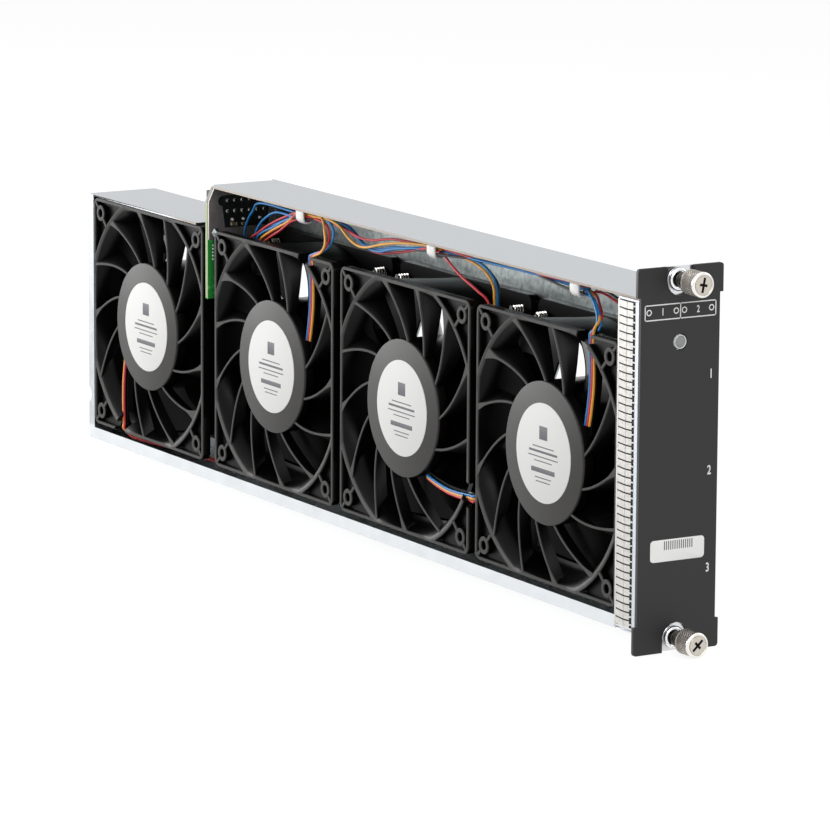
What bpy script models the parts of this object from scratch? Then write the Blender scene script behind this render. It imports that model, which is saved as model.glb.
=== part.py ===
"""Switch fan tray: four axial fans in a bent sheet-metal tray with a captive-screw faceplate.

Sizes are in metres.  The tray datum, an empty that carries every piece, lies on the open face of
the fans (X), on the back of the faceplate (Y) and at the height of the fan shafts (Z).  The fans'
open side looks along -X, the faceplate looks along -Y, and +Z is up.
"""
import math

import bmesh
import bpy
from mathutils import Matrix, Vector

# Clearances
SEAT_GAP = 0.0003
SCREW_PLAY = 0.0004
EDGE_BREAK = 0.0006
CUT_PAST = 0.0010

# Fans
FAN_SIZE = 0.120
FAN_DEPTH = 0.038
FAN_CORNER = 0.004
HOLE_INSET = 0.0075
HOLE_RADIUS = 0.0022
FLANGE_DEPTH = 0.0045
RIB_WALL = 0.0016
THROAT_MARGIN = 0.002
THROAT_START = 0.008
BARREL_WALL = 0.0016
MOUTH_OVERREACH = 0.004
FLARE_WALL = 0.0018
SIDE_WALL = 0.00015
POCKET_DEPTH = 0.0032
BOSS_RADIUS = 0.0042
CORNER_WEB = 0.0016
VANE_COUNT = 13
VANE_WALL = 0.0013
VANE_SWEEP = 25.0
VANE_BOW = 7.3
VANE_LEAN = 7.0
VANE_ROOT_DEPTH = 0.0048
VANE_TIP_DEPTH = 0.0102
VANE_TOP = 0.0003
VANE_EMBED = 0.0002
VANE_SPREAD = 1.25
VANE_START = -54.5
HUB_RADIUS = 0.033
HUB_PROUD = 0.0005
HUB_DEPTH = 0.0055
STRUT_WIDTH = 0.0044
STRUT_TOP = 0.0045
STRUT_ROOT = 0.0064
STRUT_TIP = 0.0090
TUBE_RADIUS = 0.006
TUBE_BORE = 0.0045
TUBE_END = 0.025
LEAD_SLOT_LOW = 0.026
LEAD_SLOT_HIGH = 0.038
LEAD_SLOT_INSET = 0.0060
LEAD_SLOT_DEPTH = 0.0051

# Rotors
BLADE_COUNT = 7
BLADE_TIP_GAP = 0.0012
BLADE_FRONT = 0.0128
BLADE_BACK = 0.0335
BLADE_WALL = 0.0019
BLADE_ROOT_SWEEP = 46.0
BLADE_TIP_SWEEP = 38.0
BLADE_SKEW = 14.0
BLADE_BOW = 0.10
BLADE_FILL = 0.98
BLADE_THINNING = 0.35
BLADE_WALL_SHARES = (0.35, 1.0, 0.85, 0.25)
ROTOR_FRONT = 0.0068
ROTOR_BACK = 0.0350
ROTOR_WALL = 0.0022
MAGNET_WALL = 0.0022
AIR_GAP = 0.0005
MAGNET_FRONT = 0.0095
MAGNET_BACK = 0.0290
SHAFT_RADIUS = 0.0015
BEARING_LENGTH = 0.0170
STATOR_WALL = 0.0110
STATOR_POLES = 6
POLE_CORE = 0.0045
POLE_NECK = 0.0060
POLE_SPAN = 46.0
BOARD_WALL = 0.0016
BOARD_MARGIN = 0.0060

# Row of fans, from the faceplate backwards
FAN_GAPS = (0.0062, 0.0072, 0.0128)
FAN_TURNS = (90.0, 0.0, 90.0, -90.0)

# Tray
SHEET = 0.0010
FRONT_ROOM = 0.0181
REAR_ROOM = 0.00625
UNDER_ROOM = 0.0077
REAR_TOP_ROOM = 0.0003
CHANNEL_ROOM = 0.0212
LIP_HEIGHT = 0.0060
CORNER_RELIEF_X = 0.0034
CORNER_RELIEF_Y = 0.0054
REAR_TOP_START = 0.0110
EXHAUST_INSET = 0.0004
BITE_RADIUS = 0.0048
BITE_RISE = 0.0221
BITE_SHIFT = 0.4

# Faceplate and bulkhead
PLATE_WALL = 0.0016
PLATE_WIDTH = 0.0415
PLATE_OFFSET = -0.00035
EAR_WIDTH = 0.0017
EAR_HEIGHT = 0.0130
PLATE_CORNER = 0.0013
PLATE_ABOVE = 0.0133
PLATE_BELOW = 0.0089
NOTCH_WIDTH = 0.0143
SCREW_INSET = 0.00615
BULKHEAD_WALL = 0.0015
TAB_MARGIN = 0.0030
LIGHT_DROP = 0.0204
LENS_RADIUS = 0.0026
BEZEL_WALL = 0.0006
BEZEL_LENGTH = 0.0060
BEZEL_PROUD = 0.0003
LENS_DOME = 0.25
LENS_CROWN = 0.6
LENS_SHOULDER = 0.8

# Spring-finger gasket
FINGER_COUNT = 41
FINGER_SLIT = 0.0005
GASKET_WALL = 0.0003
GASKET_BAND = 0.0026
GASKET_CROWN = 0.0017
CROWN_PLACE = 0.0082
GASKET_FOOT = 0.0028
GASKET_END_MARGIN = 0.0010

# Captive thumbscrews
HEAD_RADIUS = 0.00575
HEAD_LENGTH = 0.0105
HEAD_PROUD = 0.0177
HEAD_BORE = 0.0044
HEAD_FLOOR = 0.0026
SHANK_RADIUS = 0.0016
SHANK_TAIL = 0.0075
GROOVE_RADIUS = 0.0012
RING_RADIUS = 0.0024
RING_WALL = 0.0008
FERRULE_RADIUS = 0.0052
FERRULE_PROUD = 0.0014
FERRULE_NECK = 0.0034
SPRING_RADIUS = 0.0031
SPRING_WIRE = 0.0004
SPRING_TURNS = 4

# Step bracket, board and connector
STEP_GAP = 0.0056
BRACKET_LAP = 0.0055
WINDOW_LEFT = 0.0092
WINDOW_RIGHT = 0.0345
WINDOW_DROP = 0.0047
KEY_SLOT_LEFT = 0.0051
KEY_SLOT_HEIGHT = 0.0053
BOARD_THICKNESS = 0.0024
BOARD_WIDTH = 0.0375
BOARD_DROP = 0.0569
BOARD_CHAMFER = 0.0034
BOARD_CHAMFER_DROP = 0.0070
PIN_COLUMNS = 6
PIN_PITCH = 0.0042
PIN_ROW_PITCH = 0.0055
PIN_FIRST = 0.0112
PIN_ROW_DROP = 0.0075
PIN_HALF = 0.00055
PIN_TAIL = 0.0012
CONNECTOR_MARGIN = 0.0034
CONNECTOR_WALL = 0.0014
CONNECTOR_LENGTH = 0.0130
CONNECTOR_FLOOR = 0.0030
PIN_REACH = 0.0062
HEADER_WIDTH = 0.0160
HEADER_HEIGHT = 0.0100
HEADER_LENGTH = 0.0055
HEADER_CENTRE_X = 0.0190
HEADER_DROP = 0.0352
PLUG_LENGTH = 0.0090
PLUG_INSET = 0.0006
SMALL_PLUG_LENGTH = 0.0060
SMALL_HEADER_WIDTH = 0.0100
SMALL_HEADER_X = 0.0160

# Fasteners, clips and leads
PAN_RADIUS = 0.0045
PAN_HEIGHT = 0.0021
TAPPING_RADIUS = 0.0025
TAPPING_REACH = 0.0115
BOARD_SCREW_RADIUS = 0.0014
BOARD_SCREW_HEAD = 0.0025
BOARD_SCREW_RISE = 0.0016
BOARD_SCREW_TAIL = 0.0012
BOARD_SCREW_X = {"near": 0.0040, "far": 0.0350}
BOARD_SCREW_DROP = 0.0232
CLIP_WIDTH = 0.0080
CLIP_WALL = 0.0011
CLIP_SETBACKS = {"front": 0.0173, "middle": 0.0184, "rear": 0.0205}
CLIP_CENTRE_X = 0.0072
HARNESS_RADIUS = 0.0029
LEAD_RADIUS = 0.0017
LIGHT_LEAD_RADIUS = 0.0012

# Sides of the round pieces
BORE_SIDES = 32
HUB_SIDES = 14
SMALL_SIDES = 12
FASTENER_SIDES = 6

# Sizes and places worked out from the others
HALF_FAN = FAN_SIZE / 2
HOLE_PITCH = FAN_SIZE - 2 * HOLE_INSET
THROAT_RADIUS = HALF_FAN - THROAT_MARGIN
MOUTH_RADIUS = HALF_FAN + MOUTH_OVERREACH
EXHAUST_RADIUS = THROAT_RADIUS - EXHAUST_INSET
LEAD_SLOT_REACH = HOLE_PITCH / 2 - LEAD_SLOT_INSET
HUB_FLAT = HUB_RADIUS * math.cos(math.pi / HUB_SIDES)
PITCHES = [gap + FAN_SIZE for gap in FAN_GAPS]
FIRST_FAN = FRONT_ROOM + SEAT_GAP + FAN_SIZE / 2
FAN_PLACES = [FIRST_FAN + sum(PITCHES[:i]) for i in range(len(FAN_TURNS))]
BACK_INNER = FAN_DEPTH + SEAT_GAP
BACK_OUTER = BACK_INNER + SHEET
TRAY_FRONT = SEAT_GAP + BULKHEAD_WALL + SEAT_GAP
TRAY_END = FAN_PLACES[-1] + FAN_SIZE / 2 + REAR_ROOM
FLOOR_INNER = -FAN_SIZE / 2 - UNDER_ROOM
FLOOR_OUTER = FLOOR_INNER - SHEET
TOP_INNER = FAN_SIZE / 2 + CHANNEL_ROOM
TOP_OUTER = TOP_INNER + SHEET
REAR_TOP_OUTER = FAN_SIZE / 2 + REAR_TOP_ROOM + SHEET
BITE_HEIGHT = FLOOR_INNER + BITE_RISE
LIGHT_HEIGHT = TOP_OUTER - LIGHT_DROP
BRACKET_BOTTOM = FAN_SIZE / 2 - BRACKET_LAP
WINDOW_BOTTOM = FAN_SIZE / 2
WINDOW_TOP = TOP_INNER - WINDOW_DROP
BOARD_BOTTOM = TOP_INNER - BOARD_DROP
PIN_ROW_HEIGHT = TOP_INNER - PIN_ROW_DROP
HEADER_CENTRE_Z = TOP_INNER - HEADER_DROP
BOARD_SCREW_Z = TOP_INNER - BOARD_SCREW_DROP
CLIP_PLACES = {part: place - CLIP_SETBACKS[part]
               for part, place in zip(("front", "middle", "rear"), FAN_PLACES)}
PLATE_X = BACK_OUTER / 2 + PLATE_OFFSET
PLATE_TOP = TOP_OUTER + PLATE_ABOVE
PLATE_BOTTOM = FLOOR_OUTER - PLATE_BELOW
SCREW_HEIGHTS = {"upper": PLATE_TOP - SCREW_INSET, "lower": PLATE_BOTTOM + SCREW_INSET}
STEP_FACE = FAN_PLACES[2] + FAN_SIZE / 2 + STEP_GAP
BOARD_FACE = STEP_FACE + SHEET + SEAT_GAP
BOARD_REAR = BOARD_FACE + BOARD_THICKNESS
HEAD_FACE = -PLATE_WALL - HEAD_PROUD


def material(name, colour, roughness, metallic=0.0):
    """A plain Principled material; colour is linear red, green, blue."""
    made = bpy.data.materials.new(name)
    made.use_nodes = True
    shader = made.node_tree.nodes["Principled BSDF"]
    shader.inputs["Base Color"].default_value = (*colour, 1.0)
    shader.inputs["Roughness"].default_value = roughness
    shader.inputs["Metallic"].default_value = metallic
    made.diffuse_color = (*colour, 1.0)
    return made


def finish(mesh, smooth_under=35.0):
    """Merge doubles, turn faces outwards and shade the round parts smooth."""
    work = bmesh.new()
    work.from_mesh(mesh)
    bmesh.ops.remove_doubles(work, verts=work.verts, dist=0.000005)
    bmesh.ops.recalc_face_normals(work, faces=work.faces)
    work.to_mesh(mesh)
    work.free()
    mesh.shade_smooth()
    mesh.set_sharp_from_angle(angle=math.radians(smooth_under))
    return mesh


def mesh_from(name, points, faces):
    """A mesh from corner points and faces."""
    mesh = bpy.data.meshes.new(name)
    mesh.from_pydata([tuple(p) for p in points], [], faces)
    return finish(mesh)


def place(name, mesh, colour, parent, location=(0, 0, 0), turn=0.0):
    """One named object for one node, on its parent, turned about its own Z."""
    made = bpy.data.objects.new(name, mesh)
    bpy.context.scene.collection.objects.link(made)
    if colour.name not in [m.name for m in mesh.materials if m]:
        mesh.materials.append(colour)
    made.parent = parent
    made.location = location
    made.rotation_euler.z = turn
    return made


def circle(centre, radius, sides, start=0.0, stop=360.0):
    """Points on an arc, in the plane of an outline; a whole turn leaves out its last point."""
    whole = abs(stop - start) >= 360.0
    steps = sides if whole else sides + 1
    angles = [math.radians(start + (stop - start) * i / sides) for i in range(steps)]
    return [(centre[0] + radius * math.cos(a), centre[1] + radius * math.sin(a)) for a in angles]


def rectangle(left, right, bottom, top):
    """Corners of a rectangle outline."""
    return [(left, bottom), (right, bottom), (right, top), (left, top)]


AXIS_ORDER = {"X": (2, 0, 1), "Y": (0, 2, 1), "Z": (0, 1, 2)}


def prism(name, outlines, low, high, normal="Z"):
    """A flat plate: outlines (the first is the rim, the rest are holes) between two planes."""
    order = AXIS_ORDER[normal]
    work = bmesh.new()
    edges = []
    for outline in outlines:
        ring = []
        for point in outline:
            flat = (point[0], point[1], low)
            ring.append(work.verts.new([flat[i] for i in order]))
        for i, corner in enumerate(ring):
            edges.append(work.edges.new((corner, ring[(i + 1) % len(ring)])))
    bmesh.ops.triangle_fill(work, use_beauty=True, use_dissolve=False, edges=edges)
    raised = bmesh.ops.extrude_face_region(work, geom=work.faces[:])
    step = Vector([(0, 0, high - low)[i] for i in order])
    moved = [item for item in raised["geom"] if isinstance(item, bmesh.types.BMVert)]
    bmesh.ops.translate(work, verts=moved, vec=step)
    mesh = bpy.data.meshes.new(name)
    work.to_mesh(mesh)
    work.free()
    return finish(mesh)


def block(name, low, high):
    """A plain block between two corners."""
    return prism(name, [rectangle(low[0], high[0], low[1], high[1])], low[2], high[2])


def turned(name, profile, sides, closed=False):
    """A solid of revolution about Z: profile is (radius, height) pairs from end to end."""
    points = []
    rings = []
    for radius, height in profile:
        if radius == 0:
            rings.append([len(points)])
            points.append((0, 0, height))
            continue
        rings.append(list(range(len(points), len(points) + sides)))
        points += [(x, y, height) for x, y in circle((0, 0), radius, sides)]
    faces = []
    pairs = list(zip(rings, rings[1:]))
    if closed:
        pairs.append((rings[-1], rings[0]))
    for first, second in pairs:
        for i in range(sides):
            j = (i + 1) % sides
            if len(first) == 1:
                faces.append((first[0], second[j], second[i]))
            elif len(second) == 1:
                faces.append((first[i], first[j], second[0]))
            else:
                faces.append((first[i], first[j], second[j], second[i]))
    return mesh_from(name, points, faces)


def lofted(name, sections, closed=False, paired=False):
    """A skin through equal sections of points, capped at both ends or closed on itself.

    Paired sections list one side and then the other backwards, and both sides of the thin
    body between them are split along the same diagonals.
    """
    count = len(sections[0])
    points = [p for section in sections for p in section]
    faces = []
    last = len(sections) if closed else len(sections) - 1
    for s in range(last):
        here = s * count
        there = (s + 1) % len(sections) * count
        for i in range(count):
            j = (i + 1) % count
            if not paired:
                faces.append((here + i, here + j, there + j, there + i))
            elif i < count / 2:
                faces.append((here + i, here + j, there + j))
                faces.append((here + i, there + j, there + i))
            else:
                faces.append((here + i, here + j, there + i))
                faces.append((here + j, there + j, there + i))
    if not closed:
        faces.append(tuple(range(count)))
        faces.append(tuple(range(len(points) - count, len(points))))
    return mesh_from(name, points, faces)


def moved(mesh, matrix):
    """A copy of a mesh at another place."""
    copy = mesh.copy()
    copy.transform(matrix)
    return copy


def combined(name, base, tools, operation):
    """Union or difference of one mesh with several others in turn, as a new mesh."""
    body = bpy.data.objects.new(name + "_body", base)
    bpy.context.scene.collection.objects.link(body)
    helpers = [body]
    for tool in tools:
        helper = bpy.data.objects.new(tool.name, tool)
        bpy.context.scene.collection.objects.link(helper)
        helpers.append(helper)
        cut = body.modifiers.new("combine", "BOOLEAN")
        cut.operation = operation
        cut.object = helper
        cut.solver = "EXACT"
    graph = bpy.context.evaluated_depsgraph_get()
    mesh = bpy.data.meshes.new_from_object(body.evaluated_get(graph), depsgraph=graph)
    mesh.name = name
    for helper in helpers:
        bpy.data.objects.remove(helper)
    mesh.materials.clear()
    return finish(mesh)


def tube(name, route, radius, colour, parent):
    """A lead as a plain tube along a smooth curve through its route's points."""
    path = smooth_route([Vector(p) for p in route], radius * 5.5)
    curve = bpy.data.curves.new(name, "CURVE")
    curve.dimensions = "3D"
    curve.bevel_depth = radius
    curve.bevel_resolution = 2
    curve.use_fill_caps = True
    spline = curve.splines.new("POLY")
    spline.points.add(len(path) - 1)
    for point, place_on_path in zip(spline.points, path):
        point.co = (*place_on_path, 1.0)
    made = bpy.data.objects.new(name, curve)
    bpy.context.scene.collection.objects.link(made)
    curve.materials.append(colour)
    made.parent = parent
    return made


def smooth_route(points, spacing):
    """Even steps along the Catmull-Rom curve through the points."""
    fine = []
    for i in range(len(points) - 1):
        p1 = points[i]
        p2 = points[i + 1]
        p0 = points[i - 1] if i else p1 * 2 - p2
        p3 = points[i + 2] if i + 2 < len(points) else p2 * 2 - p1
        for k in range(16):
            t = k / 16
            near = (p2 - p0) * t
            bend = (p0 * 2 - p1 * 5 + p2 * 4 - p3) * t * t
            twist = (p1 * 3 - p0 - p2 * 3 + p3) * t * t * t
            fine.append(p1 + (near + bend + twist) * 0.5)
    fine.append(points[-1])
    travelled = [0.0]
    for a, b in zip(fine, fine[1:]):
        travelled.append(travelled[-1] + (b - a).length)
    steps = max(2, round(travelled[-1] / spacing))
    path = []
    index = 0
    for k in range(steps + 1):
        target = travelled[-1] * k / steps
        while index < len(fine) - 2 and travelled[index + 1] < target:
            index += 1
        span = travelled[index + 1] - travelled[index]
        share = (target - travelled[index]) / span if span else 0.0
        path.append(fine[index].lerp(fine[index + 1], min(1.0, share)))
    return path


def square_reach(angle, half, corner):
    """Distance from the centre of a rounded square to its edge along an angle."""
    wide = max(abs(math.cos(angle)), abs(math.sin(angle)))
    thin = min(abs(math.cos(angle)), abs(math.sin(angle)))
    if half / wide * thin <= half - corner:
        return half / wide
    centre = half - corner
    along = centre * (wide + thin)
    return along + math.sqrt(along * along - 2 * centre * centre + corner * corner)


def mouth_reach(angle):
    """Radius of the flared mouth along an angle: an arc cut off by the four flat sides."""
    wide = max(abs(math.cos(angle)), abs(math.sin(angle)))
    return min(MOUTH_RADIUS, (FAN_SIZE / 2 - RIB_WALL) / wide)


def frame_angles():
    """Angles of the frame's sections: flat sides, mouth arcs and rounded corners."""
    mouth = math.acos((FAN_SIZE / 2 - RIB_WALL) / MOUTH_RADIUS)
    corner = math.atan2(FAN_SIZE / 2 - FAN_CORNER, FAN_SIZE / 2)
    half = [0.0, mouth / 2, mouth, corner]
    quadrant = half + [math.pi / 2 - a for a in reversed(half[1:])]
    return [a + quarter * math.pi / 2 for quarter in range(4) for a in quadrant]


def frame_shell():
    """Flanges, round barrel and flared mouth as one ring of sections."""
    outer = THROAT_RADIUS + BARREL_WALL
    far = FAN_DEPTH - FLANGE_DEPTH
    sections = []
    for angle in frame_angles():
        edge = square_reach(angle, FAN_SIZE / 2, FAN_CORNER)
        wide = max(abs(math.cos(angle)), abs(math.sin(angle)))
        flare = min(MOUTH_RADIUS - FLARE_WALL, (FAN_SIZE / 2 - SIDE_WALL) / wide)
        profile = [
            (mouth_reach(angle), 0.0),
            (THROAT_RADIUS, THROAT_START),
            (THROAT_RADIUS, FAN_DEPTH),
            (edge, FAN_DEPTH),
            (edge, far),
            (outer, far),
            (max(outer, flare), FLANGE_DEPTH),
            (edge, FLANGE_DEPTH),
            (edge, 0.0),
        ]
        sections.append([(r * math.cos(angle), r * math.sin(angle), -d) for r, d in profile])
    return lofted("frame_shell", sections, closed=True)


def pocket_halves():
    """Blind pockets between mouth ring and rim, two to each corner, around the screw boss."""
    rim = FAN_SIZE / 2 - RIB_WALL
    ring = MOUTH_RADIUS + RIB_WALL
    web = CORNER_WEB / 2
    hole = HOLE_PITCH / 2
    start = math.degrees(math.asin(rim / ring))
    stop = 45.0 + math.degrees(math.asin(web / ring))
    bend = math.degrees(math.asin(web / BOSS_RADIUS))
    outline = circle((0, 0), ring, 1, start, stop)
    outline += circle((hole, hole), BOSS_RADIUS, 2, 225.0 - bend, 45.0 + bend)
    outline.append((rim - 2 * web * math.sqrt(0.5), rim))
    mirrored = [(y, x) for x, y in reversed(outline)]
    halves = []
    for half in (outline, mirrored):
        cutter = prism("pocket", [half], -POCKET_DEPTH, CUT_PAST)
        halves += [moved(cutter, Matrix.Rotation(q * math.pi / 2, 4, "Z")) for q in range(4)]
    return halves


def corner_places():
    """Centres of a fan's four screw holes."""
    half = HOLE_PITCH / 2
    return [(half, half), (-half, half), (-half, -half), (half, -half)]


def vane_angle(radius):
    """Degrees by which a vane has swept round at a radius."""
    share = (radius - HUB_RADIUS) / (MOUTH_RADIUS - HUB_RADIUS)
    return VANE_SWEEP * share + VANE_BOW * share * (1 - share)


def vane(index):
    """One curved stator vane, from the hub base to the barrel, leaning with depth."""
    start = VANE_START + index * 360.0 / VANE_COUNT
    reach = MOUTH_RADIUS
    for _ in range(3):
        reach = mouth_reach(math.radians(start + vane_angle(reach)))
    tip = reach + RIB_WALL / 2
    root = HUB_FLAT - VANE_EMBED
    deep_tip = THROAT_RADIUS + BARREL_WALL / 2
    sections = []
    for k in range(4):
        share = k / 3
        near = root + (tip - root) * share
        deep = root + (deep_tip - root) * share
        depth = VANE_ROOT_DEPTH + (VANE_TIP_DEPTH - VANE_ROOT_DEPTH) * share
        lean = VANE_LEAN * share
        section = []
        for radius, level, shift, side in ((near, VANE_TOP, 0, 1), (near, VANE_TOP, 0, -1),
                                           (deep, depth, lean, -1), (deep, depth, lean, 1)):
            half_wall = math.degrees(VANE_WALL / 2 / radius) * side * VANE_SPREAD
            angle = math.radians(start + vane_angle(radius) - shift + half_wall)
            section.append((radius * math.cos(angle), radius * math.sin(angle), -level))
        sections.append(section)
    return lofted("vane", sections)


def wire_strut():
    """Flat strut in the place of one vane, which carries the lead from the hub to the rim."""
    path = [Vector(p[:2]) for p in INNER_ROUTE if math.hypot(*p[:2]) < THROAT_RADIUS]
    outer = path[0].normalized() * (THROAT_RADIUS + BARREL_WALL / 2)
    inner = path[-1] + (path[-1] - path[-2]).normalized() * STRUT_WIDTH
    path = [outer] + path + [inner]
    sections = []
    for k, here in enumerate(path):
        ahead = path[min(k + 1, len(path) - 1)] - path[max(k - 1, 0)]
        side = Vector((-ahead.y, ahead.x)).normalized() * STRUT_WIDTH / 2
        share = k / (len(path) - 1)
        low = STRUT_TIP + (STRUT_ROOT - STRUT_TIP) * share
        right = here + side
        left = here - side
        sections.append([(*right, -STRUT_TOP), (*left, -STRUT_TOP), (*left, -low), (*right, -low)])
    return lofted("wire_strut", sections)


def fan_frame():
    """Frame of one fan: shell, vanes, lead strut, hub base with bearing tube, and screws."""
    hub = turned("hub_base", [
        (0, HUB_PROUD), (HUB_RADIUS, HUB_PROUD), (HUB_RADIUS, HUB_PROUD - HUB_DEPTH),
        (TUBE_RADIUS, HUB_PROUD - HUB_DEPTH), (TUBE_RADIUS, -TUBE_END), (TUBE_BORE, -TUBE_END),
        (TUBE_BORE, -HUB_DEPTH - SEAT_GAP), (0, -HUB_DEPTH - SEAT_GAP)], HUB_SIDES)
    vanes = [vane(i) for i in range(1, VANE_COUNT)]
    solid = combined("fan_solid", frame_shell(), [hub, wire_strut()] + vanes, "UNION")
    drills = [prism("drill", [circle(c, HOLE_RADIUS, FASTENER_SIDES)], -FLANGE_DEPTH - POCKET_DEPTH, CUT_PAST)
              for c in corner_places()]
    slot = prism("lead_slot", [rectangle(LEAD_SLOT_REACH, FAN_SIZE / 2 + CUT_PAST,
                                         -LEAD_SLOT_HIGH, -LEAD_SLOT_LOW)],
                 -LEAD_SLOT_DEPTH, CUT_PAST)
    cut = combined("fan_cut", solid, pocket_halves() + drills + [slot], "DIFFERENCE")
    seat = BACK_OUTER + SEAT_GAP
    screw = pan_screw(PAN_RADIUS, PAN_HEIGHT, TAPPING_RADIUS, seat - FAN_DEPTH + TAPPING_REACH)
    backwards = Matrix.Rotation(math.pi, 4, "X")
    screws = [moved(screw, Matrix.Translation((x, y, -seat)) @ backwards)
              for x, y in corner_places()]
    return combined("fan_frame", cut, screws, "UNION")


def blade():
    """One swept impeller blade with a rounded thickness, rooted in the hub."""
    tip = THROAT_RADIUS - BLADE_TIP_GAP
    root = HUB_FLAT - ROTOR_WALL / 4
    sections = []
    for r in range(3):
        share = r / 2
        radius = root + (tip - root) * share
        sweep = math.radians(BLADE_ROOT_SWEEP + (BLADE_TIP_SWEEP - BLADE_ROOT_SWEEP) * share)
        skew = math.radians(BLADE_SKEW) * share * share
        rise = (BLADE_BACK - BLADE_FRONT) / (radius * sweep)
        upper = []
        lower = []
        for k, wall in enumerate(BLADE_WALL_SHARES):
            along = k / (len(BLADE_WALL_SHARES) - 1)
            bow = BLADE_BOW * math.sin(math.pi * along)
            angle = skew + sweep * (along - 0.5)
            depth = BLADE_FRONT + (BLADE_BACK - BLADE_FRONT) * (along + bow) * BLADE_FILL
            half_wall = BLADE_WALL / 2 * wall * (1.0 - BLADE_THINNING * share)
            slope = math.atan(rise)
            for side, line in ((1, upper), (-1, lower)):
                turn = angle - side * half_wall * math.sin(slope) / radius
                level = depth + side * half_wall * math.cos(slope)
                line.append((radius * math.cos(turn), radius * math.sin(turn), -level))
        sections.append(upper + lower[::-1])
    return lofted("blade", sections, paired=True)


def impeller():
    """Impeller: hub cup, open towards the hub base, with seven blades."""
    inner = HUB_RADIUS - ROTOR_WALL
    floor = ROTOR_BACK - ROTOR_WALL
    cup = turned("hub_cup", [
        (0, -ROTOR_BACK), (inner, -ROTOR_BACK), (HUB_RADIUS, -floor),
        (HUB_RADIUS, -ROTOR_FRONT), (inner, -ROTOR_FRONT), (inner, -floor), (0, -floor)],
        HUB_SIDES)
    one = blade()
    turns = [Matrix.Rotation(math.tau * i / BLADE_COUNT, 4, "Z") for i in range(BLADE_COUNT)]
    return combined("impeller", cup, [moved(one, turn) for turn in turns], "UNION")


def ring(name, inner, outer, front, back, sides):
    """A plain ring between two depths behind the fan's open face."""
    profile = [(inner, -front), (outer, -front), (outer, -back), (inner, -back)]
    return turned(name, profile, sides, closed=True)


def bearing():
    """Plain sleeve bearing in the hub's tube."""
    start = HUB_DEPTH + 2 * SEAT_GAP
    return ring("bearing", SHAFT_RADIUS + SEAT_GAP, TUBE_BORE - SEAT_GAP, start,
                start + BEARING_LENGTH, 8)


def stator():
    """Wound stator: a core ring with six wound poles."""
    front = HUB_DEPTH + BOARD_WALL + 3 * SEAT_GAP
    core = TUBE_RADIUS + POLE_CORE
    magnet_bore = HUB_RADIUS - ROTOR_WALL - SEAT_GAP - MAGNET_WALL
    tip = magnet_bore * math.cos(math.pi / HUB_SIDES) - AIR_GAP
    half_neck = math.degrees(math.asin(POLE_NECK / 2 / core))
    rim = []
    for pole in range(STATOR_POLES):
        middle = pole * 360.0 / STATOR_POLES
        for radius, offset in ((core, -half_neck), (tip, -POLE_SPAN / 2),
                               (tip, POLE_SPAN / 2), (core, half_neck)):
            angle = math.radians(middle + offset)
            rim.append((radius * math.cos(angle), radius * math.sin(angle)))
    bore = circle((0, 0), TUBE_RADIUS + SEAT_GAP, HUB_SIDES)
    return prism("stator", [rim, bore], -front - STATOR_WALL, -front)


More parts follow.
